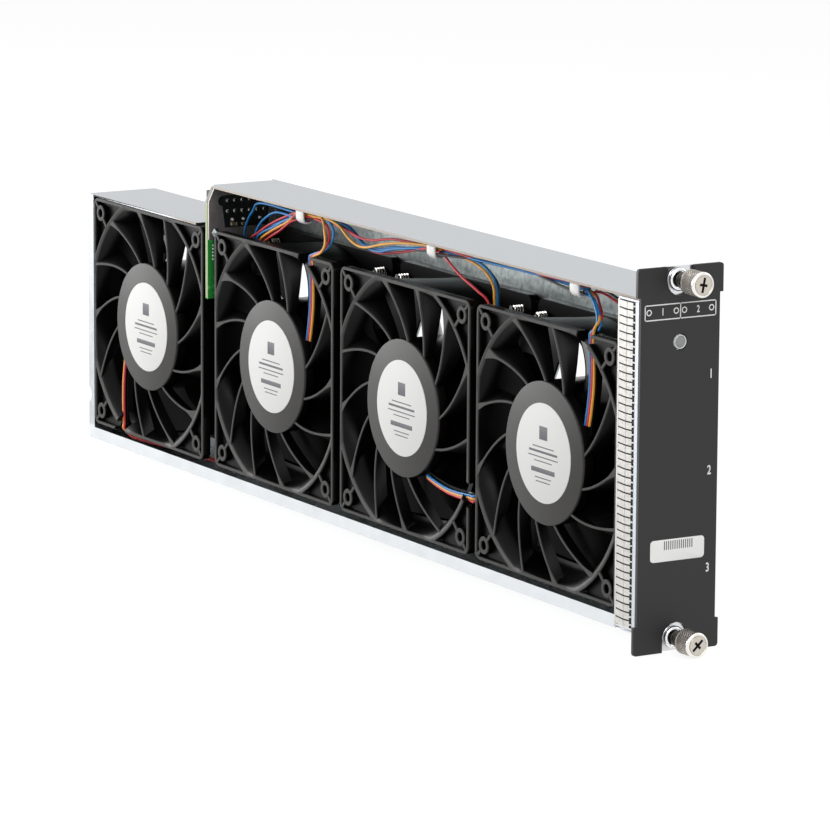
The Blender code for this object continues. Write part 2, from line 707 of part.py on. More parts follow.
def sheet_body():
    """The bent sheet: back panel, floor with lip, stepped top, rear wall with flange."""
    step = BOARD_REAR + SEAT_GAP
    top_end = STEP_FACE + SHEET
    rear_top = step + REAR_TOP_START - SHEET
    lip = FLOOR_OUTER + LIP_HEIGHT
    lip_start = FRONT_ROOM + SEAT_GAP
    flange = FAN_PLACES[-1] + FAN_SIZE / 2 + SEAT_GAP
    work = bmesh.new()
    corners = {}

    def vertex(x, y, z):
        key = (round(x, 7), round(y, 7), round(z, 7))
        if key not in corners:
            corners[key] = work.verts.new(key)
        return corners[key]

    def face(points):
        work.faces.new([vertex(*p) for p in points])

    face([(BACK_OUTER, TRAY_FRONT, TOP_OUTER), (0, TRAY_FRONT, TOP_OUTER),
          (0, top_end - CORNER_RELIEF_Y, TOP_OUTER), (CORNER_RELIEF_X, top_end, TOP_OUTER),
          (BACK_OUTER, top_end, TOP_OUTER)])
    face([(BACK_OUTER, rear_top, REAR_TOP_OUTER), (0, rear_top, REAR_TOP_OUTER),
          (0, flange, REAR_TOP_OUTER), (0, TRAY_END, REAR_TOP_OUTER),
          (BACK_OUTER, TRAY_END, REAR_TOP_OUTER)])
    face([(BACK_OUTER, TRAY_END, FLOOR_OUTER), (BACK_OUTER, TRAY_END, REAR_TOP_OUTER),
          (0, TRAY_END, REAR_TOP_OUTER), (0, TRAY_END, FLOOR_OUTER)])
    face([(BACK_OUTER, TRAY_FRONT, FLOOR_OUTER), (BACK_OUTER, TRAY_END, FLOOR_OUTER),
          (0, TRAY_END, FLOOR_OUTER), (0, lip_start, FLOOR_OUTER), (0, TRAY_FRONT, FLOOR_OUTER)])
    face([(0, lip_start, FLOOR_OUTER), (0, TRAY_END, FLOOR_OUTER), (0, TRAY_END, REAR_TOP_OUTER),
          (0, flange, REAR_TOP_OUTER), (0, flange, lip), (0, lip_start, lip)])
    rim = [(TRAY_FRONT, FLOOR_OUTER), (TRAY_END, FLOOR_OUTER), (TRAY_END, REAR_TOP_OUTER),
           (rear_top, REAR_TOP_OUTER), (step, REAR_TOP_OUTER), (step, TOP_OUTER),
           (top_end, TOP_OUTER), (TRAY_FRONT, TOP_OUTER)]
    outlines = [rim]
    for centre in FAN_PLACES:
        outlines.append(circle((centre, 0), EXHAUST_RADIUS, BORE_SIDES))
        for a, b in corner_places():
            outlines.append(circle((centre + a, b), TAPPING_RADIUS + SCREW_PLAY, FASTENER_SIDES))
    edges = []
    for outline in outlines:
        row = [vertex(BACK_OUTER, y, z) for y, z in outline]
        for i, corner in enumerate(row):
            pair = (corner, row[(i + 1) % len(row)])
            edges.append(work.edges.get(pair) or work.edges.new(pair))
    bmesh.ops.triangle_fill(work, use_beauty=True, use_dissolve=False, edges=edges)
    bmesh.ops.recalc_face_normals(work, faces=work.faces)
    mesh = bpy.data.meshes.new("tray_shell")
    work.to_mesh(mesh)
    work.free()
    return mesh


def tray_shell(colour, parent):
    """The sheet given its wall, with the round bite in the rear flange."""
    made = place("tray_shell", sheet_body(), colour, parent)
    wall = made.modifiers.new("wall", "SOLIDIFY")
    wall.solidify_mode = "NON_MANIFOLD"
    wall.nonmanifold_thickness_mode = "CONSTRAINTS"
    wall.nonmanifold_merge_threshold = 0.000001
    wall.thickness = SHEET
    wall.offset = -1.0
    cutter = prism("bite", [circle((TRAY_END + BITE_RADIUS * BITE_SHIFT, BITE_HEIGHT),
                                   BITE_RADIUS, SMALL_SIDES)], -CUT_PAST, REAR_ROOM, "X")
    helper = place("bite_cutter", cutter, colour, parent)
    helper.hide_render = True
    helper.display_type = "WIRE"
    bite = made.modifiers.new("bite", "BOOLEAN")
    bite.object = helper
    bite.operation = "DIFFERENCE"
    bite.solver = "EXACT"
    return made


def screw_holes(radius):
    """Outlines of the two captive screws' holes, in X and Z."""
    return [circle((PLATE_X, height), radius, SMALL_SIDES) for height in SCREW_HEIGHTS.values()]


def light_hole(radius):
    """Outline of the status light's hole, in X and Z."""
    return circle((PLATE_X, LIGHT_HEIGHT), radius, SMALL_SIDES)


def plate_outline():
    """Faceplate outline with four ears and the two U-shaped notches."""
    wide = PLATE_WIDTH / 2 + EAR_WIDTH
    narrow = PLATE_WIDTH / 2
    notch = NOTCH_WIDTH / 2
    upper = SCREW_HEIGHTS["upper"]
    lower = SCREW_HEIGHTS["lower"]
    turn = PLATE_CORNER
    right = [(notch, PLATE_BOTTOM)]
    right += circle((wide - turn, PLATE_BOTTOM + turn), turn, 2, 270, 360)
    right += [(wide, PLATE_BOTTOM + EAR_HEIGHT), (narrow, PLATE_BOTTOM + EAR_HEIGHT)]
    right += [(narrow, PLATE_TOP - EAR_HEIGHT), (wide, PLATE_TOP - EAR_HEIGHT)]
    right += circle((wide - turn, PLATE_TOP - turn), turn, 2, 0, 90)
    right += [(notch, PLATE_TOP)]
    left = [(-x, z) for x, z in reversed(right)]
    top_arc = circle((0, upper), notch, 8, 0, -180)
    bottom_arc = circle((0, lower), notch, 8, 180, 0)
    outline = right + top_arc + left + bottom_arc
    return [(PLATE_X + x, z) for x, z in outline]


def faceplate():
    """The black plate: outline with notches, and the hole for the status light."""
    hole = light_hole(LENS_RADIUS + BEZEL_WALL + 2 * SEAT_GAP)
    return prism("faceplate", [plate_outline(), hole], -PLATE_WALL, 0, "Y")


def bulkhead():
    """Bright plate behind the faceplate, its tabs behind the notches, and the gasket flange."""
    tab = NOTCH_WIDTH / 2 + TAB_MARGIN
    low = PLATE_BOTTOM + SEAT_GAP
    high = PLATE_TOP - SEAT_GAP
    rim = [(0, FLOOR_OUTER), (PLATE_X - tab, FLOOR_OUTER), (PLATE_X - tab, low),
           (PLATE_X + tab, low), (PLATE_X + tab, FLOOR_OUTER), (BACK_OUTER, FLOOR_OUTER),
           (BACK_OUTER, TOP_OUTER), (PLATE_X + tab, TOP_OUTER), (PLATE_X + tab, high),
           (PLATE_X - tab, high), (PLATE_X - tab, TOP_OUTER), (0, TOP_OUTER)]
    holes = screw_holes(FERRULE_NECK + SEAT_GAP)
    holes.append(light_hole(LENS_RADIUS + BEZEL_WALL + 2 * SEAT_GAP))
    front = prism("plate", [rim] + holes, SEAT_GAP, SEAT_GAP + BULKHEAD_WALL, "Y")
    flange = block("flange", (0, SEAT_GAP + BULKHEAD_WALL / 2, FLOOR_INNER + SEAT_GAP),
                   (SHEET, FRONT_ROOM, TOP_INNER - SEAT_GAP))
    return combined("front_bulkhead", front, [flange], "UNION")


def gasket():
    """Comb of spring fingers: a flat band whose fingers rise to a crown and come down again."""
    low = FLOOR_INNER + SEAT_GAP + GASKET_END_MARGIN
    high = TOP_INNER - SEAT_GAP - GASKET_END_MARGIN
    pitch = (high - low) / FINGER_COUNT
    root = FRONT_ROOM - GASKET_BAND
    lines = [(root, SEAT_GAP), (CROWN_PLACE, SEAT_GAP + GASKET_CROWN),
             (GASKET_FOOT, SEAT_GAP)]
    points = []
    faces = []

    def corner(y, out, z):
        points.append((-out, y, z))
        return len(points) - 1

    band_low = [corner(FRONT_ROOM, SEAT_GAP + w, low) for w in (0, GASKET_WALL)]
    roots = []
    for k in range(FINGER_COUNT):
        edges = []
        for z in (low + k * pitch, low + (k + 1) * pitch - FINGER_SLIT):
            edges.append([[corner(y, out + w, z) for w in (0, GASKET_WALL)] for y, out in lines])
        first, second = edges
        for a, b in ((0, 1), (1, 2)):
            faces.append((first[a][1], first[b][1], second[b][1], second[a][1]))
            faces.append((first[a][0], second[a][0], second[b][0], first[b][0]))
            faces.append((first[a][0], first[b][0], first[b][1], first[a][1]))
            faces.append((second[a][0], second[a][1], second[b][1], second[b][0]))
        faces.append((first[2][0], second[2][0], second[2][1], first[2][1]))
        roots += [first[0], second[0]]
    band_high = [corner(FRONT_ROOM, SEAT_GAP + w, roots_z) for w, roots_z in
                 ((0, high - FINGER_SLIT), (GASKET_WALL, high - FINGER_SLIT))]
    for side in (0, 1):
        faces.append((band_low[side], *[r[side] for r in roots], band_high[side]))
    for a, b in zip(roots[1::2], roots[2::2]):
        faces.append((a[0], b[0], b[1], a[1]))
    faces.append((band_low[0], band_low[1], roots[0][1], roots[0][0]))
    faces.append((band_high[0], band_high[1], roots[-1][1], roots[-1][0]))
    faces.append((band_low[0], band_low[1], band_high[1], band_high[0]))
    return mesh_from("emi_gasket", points, faces)


def step_bracket():
    """Upright plate at the step, with the window and key slot for the connector's pins."""
    top = TOP_INNER - SEAT_GAP
    half = KEY_SLOT_HEIGHT / 2
    right = BACK_INNER - SEAT_GAP
    rim = [(0, BRACKET_BOTTOM), (right, BRACKET_BOTTOM), (right, top), (BOARD_CHAMFER, top),
           (0, top - BOARD_CHAMFER_DROP)]
    key = circle((KEY_SLOT_LEFT + half, PIN_ROW_HEIGHT), half, 4, 270, 90)
    window = [(WINDOW_LEFT, WINDOW_BOTTOM), (WINDOW_RIGHT, WINDOW_BOTTOM),
              (WINDOW_RIGHT, WINDOW_TOP), (WINDOW_LEFT, WINDOW_TOP)] + key[::-1]
    screws = [circle((x, BOARD_SCREW_Z), BOARD_SCREW_RADIUS + SCREW_PLAY, FASTENER_SIDES)
              for x in BOARD_SCREW_X.values()]
    return prism("step_bracket", [rim, window] + screws, STEP_FACE, STEP_FACE + SHEET, "Y")


def pin_places():
    """Centres of the connector's pins, in X and Z."""
    return [(PIN_FIRST + column * PIN_PITCH, PIN_ROW_HEIGHT - row * PIN_ROW_PITCH)
            for row in range(2) for column in range(PIN_COLUMNS)]


def pin_outline(x, z, grow=0.0):
    """Square outline of one pin."""
    half = PIN_HALF + grow
    return rectangle(x - half, x + half, z - half, z + half)


def interface_board():
    """Board at the step, with its chamfered corner, screw holes and pin holes."""
    top = TOP_INNER - SEAT_GAP
    rim = [(0, BOARD_BOTTOM), (BOARD_WIDTH, BOARD_BOTTOM), (BOARD_WIDTH, top),
           (BOARD_CHAMFER, top), (0, top - BOARD_CHAMFER_DROP)]
    holes = [circle((x, BOARD_SCREW_Z), BOARD_SCREW_RADIUS + SCREW_PLAY, FASTENER_SIDES)
             for x in BOARD_SCREW_X.values()]
    holes += [pin_outline(x, z, SEAT_GAP) for x, z in pin_places()]
    return prism("interface_board", [rim] + holes, BOARD_FACE, BOARD_REAR, "Y")


def connector():
    """Blind-mate connector: a shroud open to the rear, with its pins moulded in."""
    xs = [x for x, z in pin_places()]
    zs = [z for x, z in pin_places()]
    outer = rectangle(min(xs) - CONNECTOR_MARGIN, max(xs) + CONNECTOR_MARGIN,
                      min(zs) - CONNECTOR_MARGIN, max(zs) + CONNECTOR_MARGIN)
    inset = CONNECTOR_MARGIN - CONNECTOR_WALL
    inner = rectangle(min(xs) - inset, max(xs) + inset, min(zs) - inset, max(zs) + inset)
    start = BOARD_REAR + SEAT_GAP
    body = prism("shroud", [outer], start, start + CONNECTOR_LENGTH, "Y")
    hollow = prism("hollow", [inner], start + CONNECTOR_FLOOR, start + CONNECTOR_LENGTH + CUT_PAST,
                   "Y")
    shroud = combined("shroud", body, [hollow], "DIFFERENCE")
    pins = [prism("pin", [pin_outline(x, z)], BOARD_FACE - PIN_TAIL, BOARD_REAR + PIN_REACH, "Y")
            for x, z in pin_places()]
    return combined("blind_mate_connector", shroud, pins, "UNION")


def header_block(centre_x, centre_z, width, start, stop, shrink=0.0):
    """A header or plug body centred on a place on the board."""
    half = width / 2 - shrink
    tall = HEADER_HEIGHT / 2 - shrink
    return block("body", (centre_x - half, min(start, stop), centre_z - tall),
                 (centre_x + half, max(start, stop), centre_z + tall))


def header_pair(centre_x, centre_z, width, face, way, length):
    """A header on the board and the plug in it; way is 1 behind the board and -1 before it."""
    seat = face + way * SEAT_GAP
    meeting = seat + way * HEADER_LENGTH
    plug = meeting + way * SEAT_GAP
    return (header_block(centre_x, centre_z, width, seat, meeting),
            header_block(centre_x, centre_z, width, plug, plug + way * length, PLUG_INSET))


def pan_screw(head, height, shank, reach):
    """Domed screw along Z: head above zero, shank below."""
    return turned("screw", [(0, height), (head, 0), (shank, 0), (shank, -reach), (0, -reach)],
                  FASTENER_SIDES)


def board_screw():
    """Screw that holds the board to the step bracket, its head on the bracket's front."""
    length = SHEET + 2 * SEAT_GAP + BOARD_THICKNESS + BOARD_SCREW_TAIL
    screw = pan_screw(BOARD_SCREW_HEAD, BOARD_SCREW_RISE, BOARD_SCREW_RADIUS, length)
    return moved(screw, Matrix.Rotation(math.pi / 2, 4, "X"))


def wire_clip():
    """Nylon saddle under the top panel, an open loop around the harness."""
    top = TOP_INNER - SEAT_GAP
    inner = HARNESS_RADIUS + 2 * SEAT_GAP
    outer = inner + CLIP_WALL
    centre = (CLIP_CENTRE_X, top - outer)
    rim = [(CLIP_CENTRE_X - outer, top), (CLIP_CENTRE_X - outer, centre[1])]
    rim += circle(centre, outer, 5, 180, 330)
    rim += circle(centre, inner, 8, 330, 60)
    rim += [(CLIP_CENTRE_X + outer, top - CLIP_WALL), (CLIP_CENTRE_X + outer, top)]
    return prism("wire_clip", [rim], -CLIP_WIDTH / 2, CLIP_WIDTH / 2, "Y")


def forward(height):
    """Place of a round piece on a screw's or the light's axis, its Z pointing out of the plate."""
    return Matrix.Translation((PLATE_X, 0, height)) @ Matrix.Rotation(math.pi / 2, 4, "X")


def ferrule():
    """Flanged bush in the bulkhead, which holds a captive screw."""
    bore = SHANK_RADIUS + SEAT_GAP
    profile = [(bore, -SEAT_GAP - BULKHEAD_WALL), (FERRULE_NECK, -SEAT_GAP - BULKHEAD_WALL),
               (FERRULE_NECK, 0), (FERRULE_RADIUS, 0), (FERRULE_RADIUS - EDGE_BREAK, FERRULE_PROUD),
               (bore, FERRULE_PROUD)]
    return turned("ferrule", profile, SMALL_SIDES, closed=True)


def thumbscrew():
    """Knurled head with a deep skirt, neck, groove for the retaining ring, and threaded tail."""
    face = -HEAD_FACE
    skirt = face - HEAD_LENGTH
    floor = face - HEAD_FLOOR
    groove = -SEAT_GAP - BULKHEAD_WALL - SEAT_GAP
    groove_end = groove - RING_WALL - SEAT_GAP
    profile = [
        (0, face), (HEAD_RADIUS - EDGE_BREAK, face), (HEAD_RADIUS, face - EDGE_BREAK),
        (HEAD_RADIUS, skirt), (HEAD_BORE, skirt), (HEAD_BORE, floor), (SHANK_RADIUS, floor),
        (SHANK_RADIUS, groove + SEAT_GAP), (GROOVE_RADIUS, groove + SEAT_GAP),
        (GROOVE_RADIUS, groove_end), (SHANK_RADIUS, groove_end),
        (SHANK_RADIUS, groove_end - SHANK_TAIL), (0, groove_end - SHANK_TAIL)]
    return turned("thumbscrew", profile, SMALL_SIDES)


def retaining_ring():
    """Snap ring in the groove behind the bulkhead."""
    front = SEAT_GAP + BULKHEAD_WALL + SEAT_GAP
    return ring("retaining_ring", GROOVE_RADIUS + SEAT_GAP, RING_RADIUS, front,
                front + RING_WALL, SMALL_SIDES)


def screw_spring():
    """Compression spring between the ferrule and the floor of the head's skirt."""
    start = FERRULE_PROUD + SEAT_GAP + SPRING_WIRE
    stop = -HEAD_FACE - HEAD_FLOOR - SEAT_GAP - SPRING_WIRE
    steps = SPRING_TURNS * FASTENER_SIDES
    sections = []
    for k in range(steps + 1):
        angle = math.tau * k / FASTENER_SIDES
        level = start + (stop - start) * k / steps
        section = []
        for x, y in circle((0, 0), SPRING_WIRE, 4):
            reach = SPRING_RADIUS + x
            section.append((reach * math.cos(angle), reach * math.sin(angle), level + y))
        sections.append(section)
    return lofted("spring", sections)


def status_lens():
    """Domed lens of the status light, with the light's body behind it."""
    dome = LENS_RADIUS * LENS_DOME
    profile = [(0, PLATE_WALL + dome), (LENS_RADIUS * LENS_CROWN, PLATE_WALL + dome * LENS_SHOULDER),
               (LENS_RADIUS, PLATE_WALL), (LENS_RADIUS, -BEZEL_LENGTH), (0, -BEZEL_LENGTH)]
    return turned("status_lens", profile, SMALL_SIDES)


def status_bezel():
    """Thin sleeve around the lens."""
    inner = LENS_RADIUS + SEAT_GAP
    return turned("status_bezel", [
        (inner, PLATE_WALL + BEZEL_PROUD), (inner + BEZEL_WALL - SEAT_GAP, PLATE_WALL + BEZEL_PROUD),
        (inner + BEZEL_WALL - SEAT_GAP, -BEZEL_LENGTH), (inner, -BEZEL_LENGTH)],
        SMALL_SIDES, closed=True)


# Routes of the leads in tray coordinates; a fan's own stretch is in the fan's coordinates
HARNESS_ROUTE = [
    (0.0190, 0.3813, 0.0460), (0.0189, 0.3773, 0.0475), (0.0184, 0.3740, 0.0515),
    (0.0172, 0.3712, 0.0572), (0.0152, 0.3662, 0.0636), (0.0126, 0.3580, 0.0698),
    (0.0098, 0.3450, 0.0742), (0.0076, 0.3280, 0.0760), (0.0072, 0.3113, 0.0763),
    (0.0074, 0.2960, 0.0757), (0.0088, 0.2740, 0.0730), (0.0106, 0.2500, 0.0712),
    (0.0098, 0.2240, 0.0728), (0.0078, 0.2020, 0.0756), (0.0072, 0.1862, 0.0763),
    (0.0076, 0.1650, 0.0768), (0.0090, 0.1350, 0.0770), (0.0088, 0.1000, 0.0772),
    (0.0074, 0.0780, 0.0766), (0.0072, 0.0611, 0.0763), (0.0073, 0.0560, 0.0761),
]
FAN_3_ROUTE = [
    (0.0125, 0.1800, 0.0735), (0.0135, 0.1715, 0.0705), (0.0140, 0.1625, 0.0655),
    (0.0140, 0.1540, 0.0585), (0.0135, 0.1475, 0.0500), (0.0125, 0.1425, 0.0400),
    (0.0115, 0.1415, 0.0290), (0.0110, 0.1415, 0.0150), (0.0105, 0.1415, 0.0000),
    (0.0098, 0.1415, -0.0120), (0.0080, 0.1417, -0.0220), (0.0052, 0.1425, -0.0290),
    (0.0031, 0.1450, -0.0318),
]
FAN_2_ROUTE = [
    (0.0098, 0.2860, 0.0703), (0.0080, 0.2846, 0.0683), (0.0060, 0.2850, 0.0662),
    (0.0043, 0.2885, 0.0643), (0.0032, 0.2935, 0.0628), (0.0028, 0.2975, 0.0608),
]
FAN_4_ROUTE = [
    (0.0100, 0.0520, 0.0725), (0.0092, 0.0480, 0.0702), (0.0075, 0.0435, 0.0675),
    (0.0053, 0.0405, 0.0655), (0.0038, 0.0405, 0.0638), (0.0030, 0.0425, 0.0618),
    (0.0027, 0.0446, 0.0590),
]
FAN_1_ROUTE = [
    (0.0160, 0.4102, 0.0412), (0.0165, 0.4100, 0.0370), (0.0176, 0.4090, 0.0310),
    (0.0190, 0.4062, 0.0230), (0.0196, 0.4026, 0.0150), (0.0196, 0.4002, 0.0070),
    (0.0192, 0.3993, 0.0000), (0.0180, 0.3984, -0.0200), (0.0170, 0.3985, -0.0400),
    (0.0164, 0.4005, -0.0540), (0.0156, 0.4080, -0.0630), (0.0148, 0.4250, -0.0644),
    (0.0135, 0.4450, -0.0644), (0.0115, 0.4650, -0.0644), (0.0085, 0.4820, -0.0642),
    (0.0052, 0.4920, -0.0632), (0.0032, 0.4963, -0.0608),
]
LIGHT_ROUTE = [
    (0.0118, 0.0560, 0.0765), (0.0128, 0.0500, 0.0762), (0.0148, 0.0410, 0.0745),
    (0.0168, 0.0310, 0.0710), (0.0184, 0.0210, 0.0660), (0.0191, 0.0120, 0.0628),
    (0.0193, 0.0063, 0.0618),
]
INNER_ROUTE = [
    (0.0560, -0.0330, 0.0025), (0.0500, -0.0334, 0.0025), (0.0438, -0.0336, 0.0025),
    (0.0350, -0.0333, 0.0025), (0.0250, -0.0318, 0.0025), (0.0174, -0.0300, 0.0025),
]


def from_fan(index, point):
    """A point of a fan's own frame (right, up, depth) in tray coordinates."""
    angle = math.radians(FAN_TURNS[index])
    right = point[0] * math.cos(angle) - point[1] * math.sin(angle)
    up = point[0] * math.sin(angle) + point[1] * math.cos(angle)
    return (point[2], FAN_PLACES[index] - right, up)


def build():
    """Build every piece on the tray's datum."""
    for old in list(bpy.data.objects):
        bpy.data.objects.remove(old)

    zinc = material("zinc_plated_steel", (0.62, 0.64, 0.66), 0.35, 1.0)
    bright = material("bright_steel", (0.75, 0.75, 0.76), 0.18, 1.0)
    black_paint = material("black_paint", (0.022, 0.022, 0.024), 0.45)
    black_plastic = material("black_plastic", (0.035, 0.035, 0.036), 0.4)
    rotor_plastic = material("rotor_plastic", (0.018, 0.018, 0.020), 0.28)
    spring_steel = material("spring_steel", (0.82, 0.80, 0.74), 0.2, 1.0)
    green_board = material("green_board", (0.02, 0.16, 0.04), 0.4)
    connector_black = material("connector_black", (0.02, 0.02, 0.02), 0.5)
    nylon = material("white_nylon", (0.80, 0.79, 0.74), 0.45)
    bronze = material("sintered_bronze", (0.40, 0.25, 0.10), 0.5, 1.0)
    blue_wire = material("wire_blue", (0.02, 0.20, 0.50), 0.4)
    red_wire = material("wire_red", (0.60, 0.03, 0.04), 0.4)
    magnet = material("magnet_ferrite", (0.08, 0.08, 0.085), 0.5)
    winding = material("wound_stator", (0.45, 0.20, 0.08), 0.35, 0.8)
    lens = material("status_lens", (0.35, 0.36, 0.35), 0.3)

    low = PLATE_BOTTOM
    datum = bpy.data.objects.new("tray_datum", None)
    bpy.context.scene.collection.objects.link(datum)
    datum.location = (-PLATE_X, -(HEAD_FACE + TRAY_END) / 2, -low)

    tray_shell(zinc, datum)
    place("front_bulkhead", bulkhead(), bright, datum)
    place("faceplate", faceplate(), black_paint, datum)
    place("emi_gasket", gasket(), spring_steel, datum)
    place("step_bracket", step_bracket(), zinc, datum)
    place("interface_board", interface_board(), green_board, datum)
    place("blind_mate_connector", connector(), connector_black, datum)
    header, plug = header_pair(HEADER_CENTRE_X, HEADER_CENTRE_Z, HEADER_WIDTH, BOARD_FACE, -1,
                               PLUG_LENGTH)
    place("harness_header", header, connector_black, datum)
    place("harness_plug", plug, nylon, datum)
    header, plug = header_pair(SMALL_HEADER_X, HEADER_CENTRE_Z, SMALL_HEADER_WIDTH, BOARD_REAR, 1,
                               SMALL_PLUG_LENGTH)
    place("fan_header", header, connector_black, datum)
    place("fan_plug", plug, nylon, datum)
    small_screw = board_screw()
    for side, x in BOARD_SCREW_X.items():
        seat = (x, STEP_FACE - SEAT_GAP, BOARD_SCREW_Z)
        place("board_screw_" + side, small_screw, zinc, datum, seat)
    clip = wire_clip()
    for part_of_tray, y in CLIP_PLACES.items():
        place("wire_clip_" + part_of_tray, clip, nylon, datum, (0, y, 0))

    light = bpy.data.objects.new("light_axis", None)
    bpy.context.scene.collection.objects.link(light)
    light.parent = datum
    light.matrix_basis = forward(LIGHT_HEIGHT)
    place("status_lens", status_lens(), lens, light)
    place("status_bezel", status_bezel(), bright, light)

    ferrule_mesh = ferrule()
    screw_mesh = thumbscrew()
    ring_mesh = retaining_ring()
    spring_mesh = screw_spring()
    for side, height in SCREW_HEIGHTS.items():
        axis = bpy.data.objects.new(side + "_screw_axis", None)
        bpy.context.scene.collection.objects.link(axis)
        axis.parent = datum
        axis.matrix_basis = forward(height)
        place(side + "_ferrule", ferrule_mesh, bright, axis)
        place(side + "_thumbscrew", screw_mesh, bright, axis)
        place(side + "_retaining_ring", ring_mesh, spring_steel, axis)
        place(side + "_spring", spring_mesh, spring_steel, axis)

    frame_mesh = fan_frame()
    impeller_mesh = impeller()
    magnet_outer = HUB_RADIUS - ROTOR_WALL - SEAT_GAP
    magnet_mesh = ring("magnet_ring", magnet_outer - MAGNET_WALL, magnet_outer, MAGNET_FRONT,
                       MAGNET_BACK, HUB_SIDES)
    shaft_top = HUB_DEPTH + 2 * SEAT_GAP
    shaft_end = ROTOR_BACK - ROTOR_WALL - SEAT_GAP
    shaft_mesh = turned("shaft", [(0, -shaft_top), (SHAFT_RADIUS, -shaft_top),
                                  (SHAFT_RADIUS, -shaft_end), (0, -shaft_end)], 8)
    bearing_mesh = bearing()
    stator_mesh = stator()
    board_front = HUB_DEPTH - HUB_PROUD + SEAT_GAP
    board_mesh = ring("driver_board", TUBE_RADIUS + SEAT_GAP,
                      HUB_RADIUS - BOARD_MARGIN, board_front, board_front + BOARD_WALL,
                      HUB_SIDES)

    towards_open_side = Matrix(((0, 0, -1, 0), (-1, 0, 0, 0), (0, 1, 0, 0), (0, 0, 0, 1)))
    routes = (FAN_4_ROUTE, FAN_3_ROUTE, FAN_2_ROUTE, FAN_1_ROUTE)
    for index, (centre, degrees) in enumerate(zip(FAN_PLACES, FAN_TURNS)):
        number = str(len(FAN_PLACES) - index)
        turn = math.radians(degrees)
        seat = Matrix.Translation((0, centre, 0)) @ towards_open_side
        axis = bpy.data.objects.new("fan_axis_" + number, None)
        bpy.context.scene.collection.objects.link(axis)
        axis.parent = datum
        axis.matrix_basis = seat
        place("fan_frame_" + number, frame_mesh, black_plastic, axis, turn=turn)
        place("impeller_" + number, impeller_mesh, rotor_plastic, axis, turn=turn)
        place("magnet_ring_" + number, magnet_mesh, magnet, axis, turn=turn)
        place("shaft_" + number, shaft_mesh, bright, axis, turn=turn)
        place("bearing_" + number, bearing_mesh, bronze, axis, turn=turn)
        place("stator_" + number, stator_mesh, winding, axis, turn=turn)
        place("driver_board_" + number, board_mesh, green_board, axis, turn=turn)
        inner = [from_fan(index, p) for p in INNER_ROUTE]
        tube("fan_lead_" + number, routes[index] + inner, LEAD_RADIUS, blue_wire, datum)
    tube("wire_harness", HARNESS_ROUTE, HARNESS_RADIUS, blue_wire, datum)
    tube("light_lead", LIGHT_ROUTE, LIGHT_LEAD_RADIUS, red_wire, datum)


build()
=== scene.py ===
import bmesh
import bpy
import numpy as np
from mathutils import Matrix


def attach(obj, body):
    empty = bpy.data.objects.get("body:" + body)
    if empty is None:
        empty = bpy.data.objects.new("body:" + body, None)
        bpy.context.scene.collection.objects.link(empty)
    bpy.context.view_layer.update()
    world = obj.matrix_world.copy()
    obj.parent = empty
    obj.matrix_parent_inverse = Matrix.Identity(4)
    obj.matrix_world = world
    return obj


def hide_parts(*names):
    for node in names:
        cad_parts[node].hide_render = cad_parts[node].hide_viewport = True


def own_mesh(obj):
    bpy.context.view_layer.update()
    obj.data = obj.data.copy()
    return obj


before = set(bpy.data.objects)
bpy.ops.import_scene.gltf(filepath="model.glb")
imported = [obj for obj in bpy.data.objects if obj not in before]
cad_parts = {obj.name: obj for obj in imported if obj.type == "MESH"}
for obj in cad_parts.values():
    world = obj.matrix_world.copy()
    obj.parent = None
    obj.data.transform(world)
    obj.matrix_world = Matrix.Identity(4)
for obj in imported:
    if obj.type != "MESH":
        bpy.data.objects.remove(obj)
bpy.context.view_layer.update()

# Studio: a photographer's white sweep with a large soft box on each side and one overhead.
# The camera stands in front of the tray's faceplate, a little above it, with a long lens.
# The sweep is white to the camera and in reflections, and keeps the tray's soft shadow.


def turned_axes(azimuth, elevation, roll):
    """Right, up and back directions of a camera, from its angles in degrees."""
    a, e, r = np.radians((azimuth, elevation, roll))
    back = np.array((np.sin(a) * np.cos(e), -np.cos(a) * np.cos(e), np.sin(e)))
    right = np.cross((0, 0, 1), back)
    right /= np.linalg.norm(right)
    up = np.cross(back, right)
    return np.cos(r) * right + np.sin(r) * up, np.cos(r) * up - np.sin(r) * right, back


def placed(thing, right, up, back, position):
    """Turns a camera or lamp to look against its back direction, at a position."""
    matrix = np.eye(4)
    matrix[:3, 0], matrix[:3, 1], matrix[:3, 2], matrix[:3, 3] = right, up, back, position
    thing.matrix_world = matrix.T.tolist()
    return thing


def to_linear(colour, alpha=1.0):
    """Linear red, green, blue and alpha of an sRGB hex value."""
    srgb = np.array([int(colour[i:i + 2], 16) for i in (1, 3, 5)]) / 255
    linear = np.where(srgb <= 0.04045, srgb / 12.92, ((srgb + 0.055) / 1.055) ** 2.4)
    return (*linear.tolist(), alpha)


def add_node(tree, kind, inputs=(), **settings):
    """Adds one shader node: settings are its properties, inputs its socket values or links."""
    made = tree.nodes.new(kind)
    for name, value in settings.items():
        setattr(made, name, value)
    for name, value in dict(inputs).items():
        if isinstance(value, bpy.types.NodeSocket):
            tree.links.new(value, made.inputs[name])
        else:
            made.inputs[name].default_value = value
    return made


def seen_by(tree, *kinds):
    """1 for a ray of any of the given kinds, and 0 for every other ray."""
    ray = add_node(tree, "ShaderNodeLightPath")
    total = 0.0
    for kind in kinds:
        total = add_node(tree, "ShaderNodeMath", {0: total, 1: ray.outputs[f"Is {kind} Ray"]},
                         operation="ADD", use_clamp=True).outputs[0]
    return total


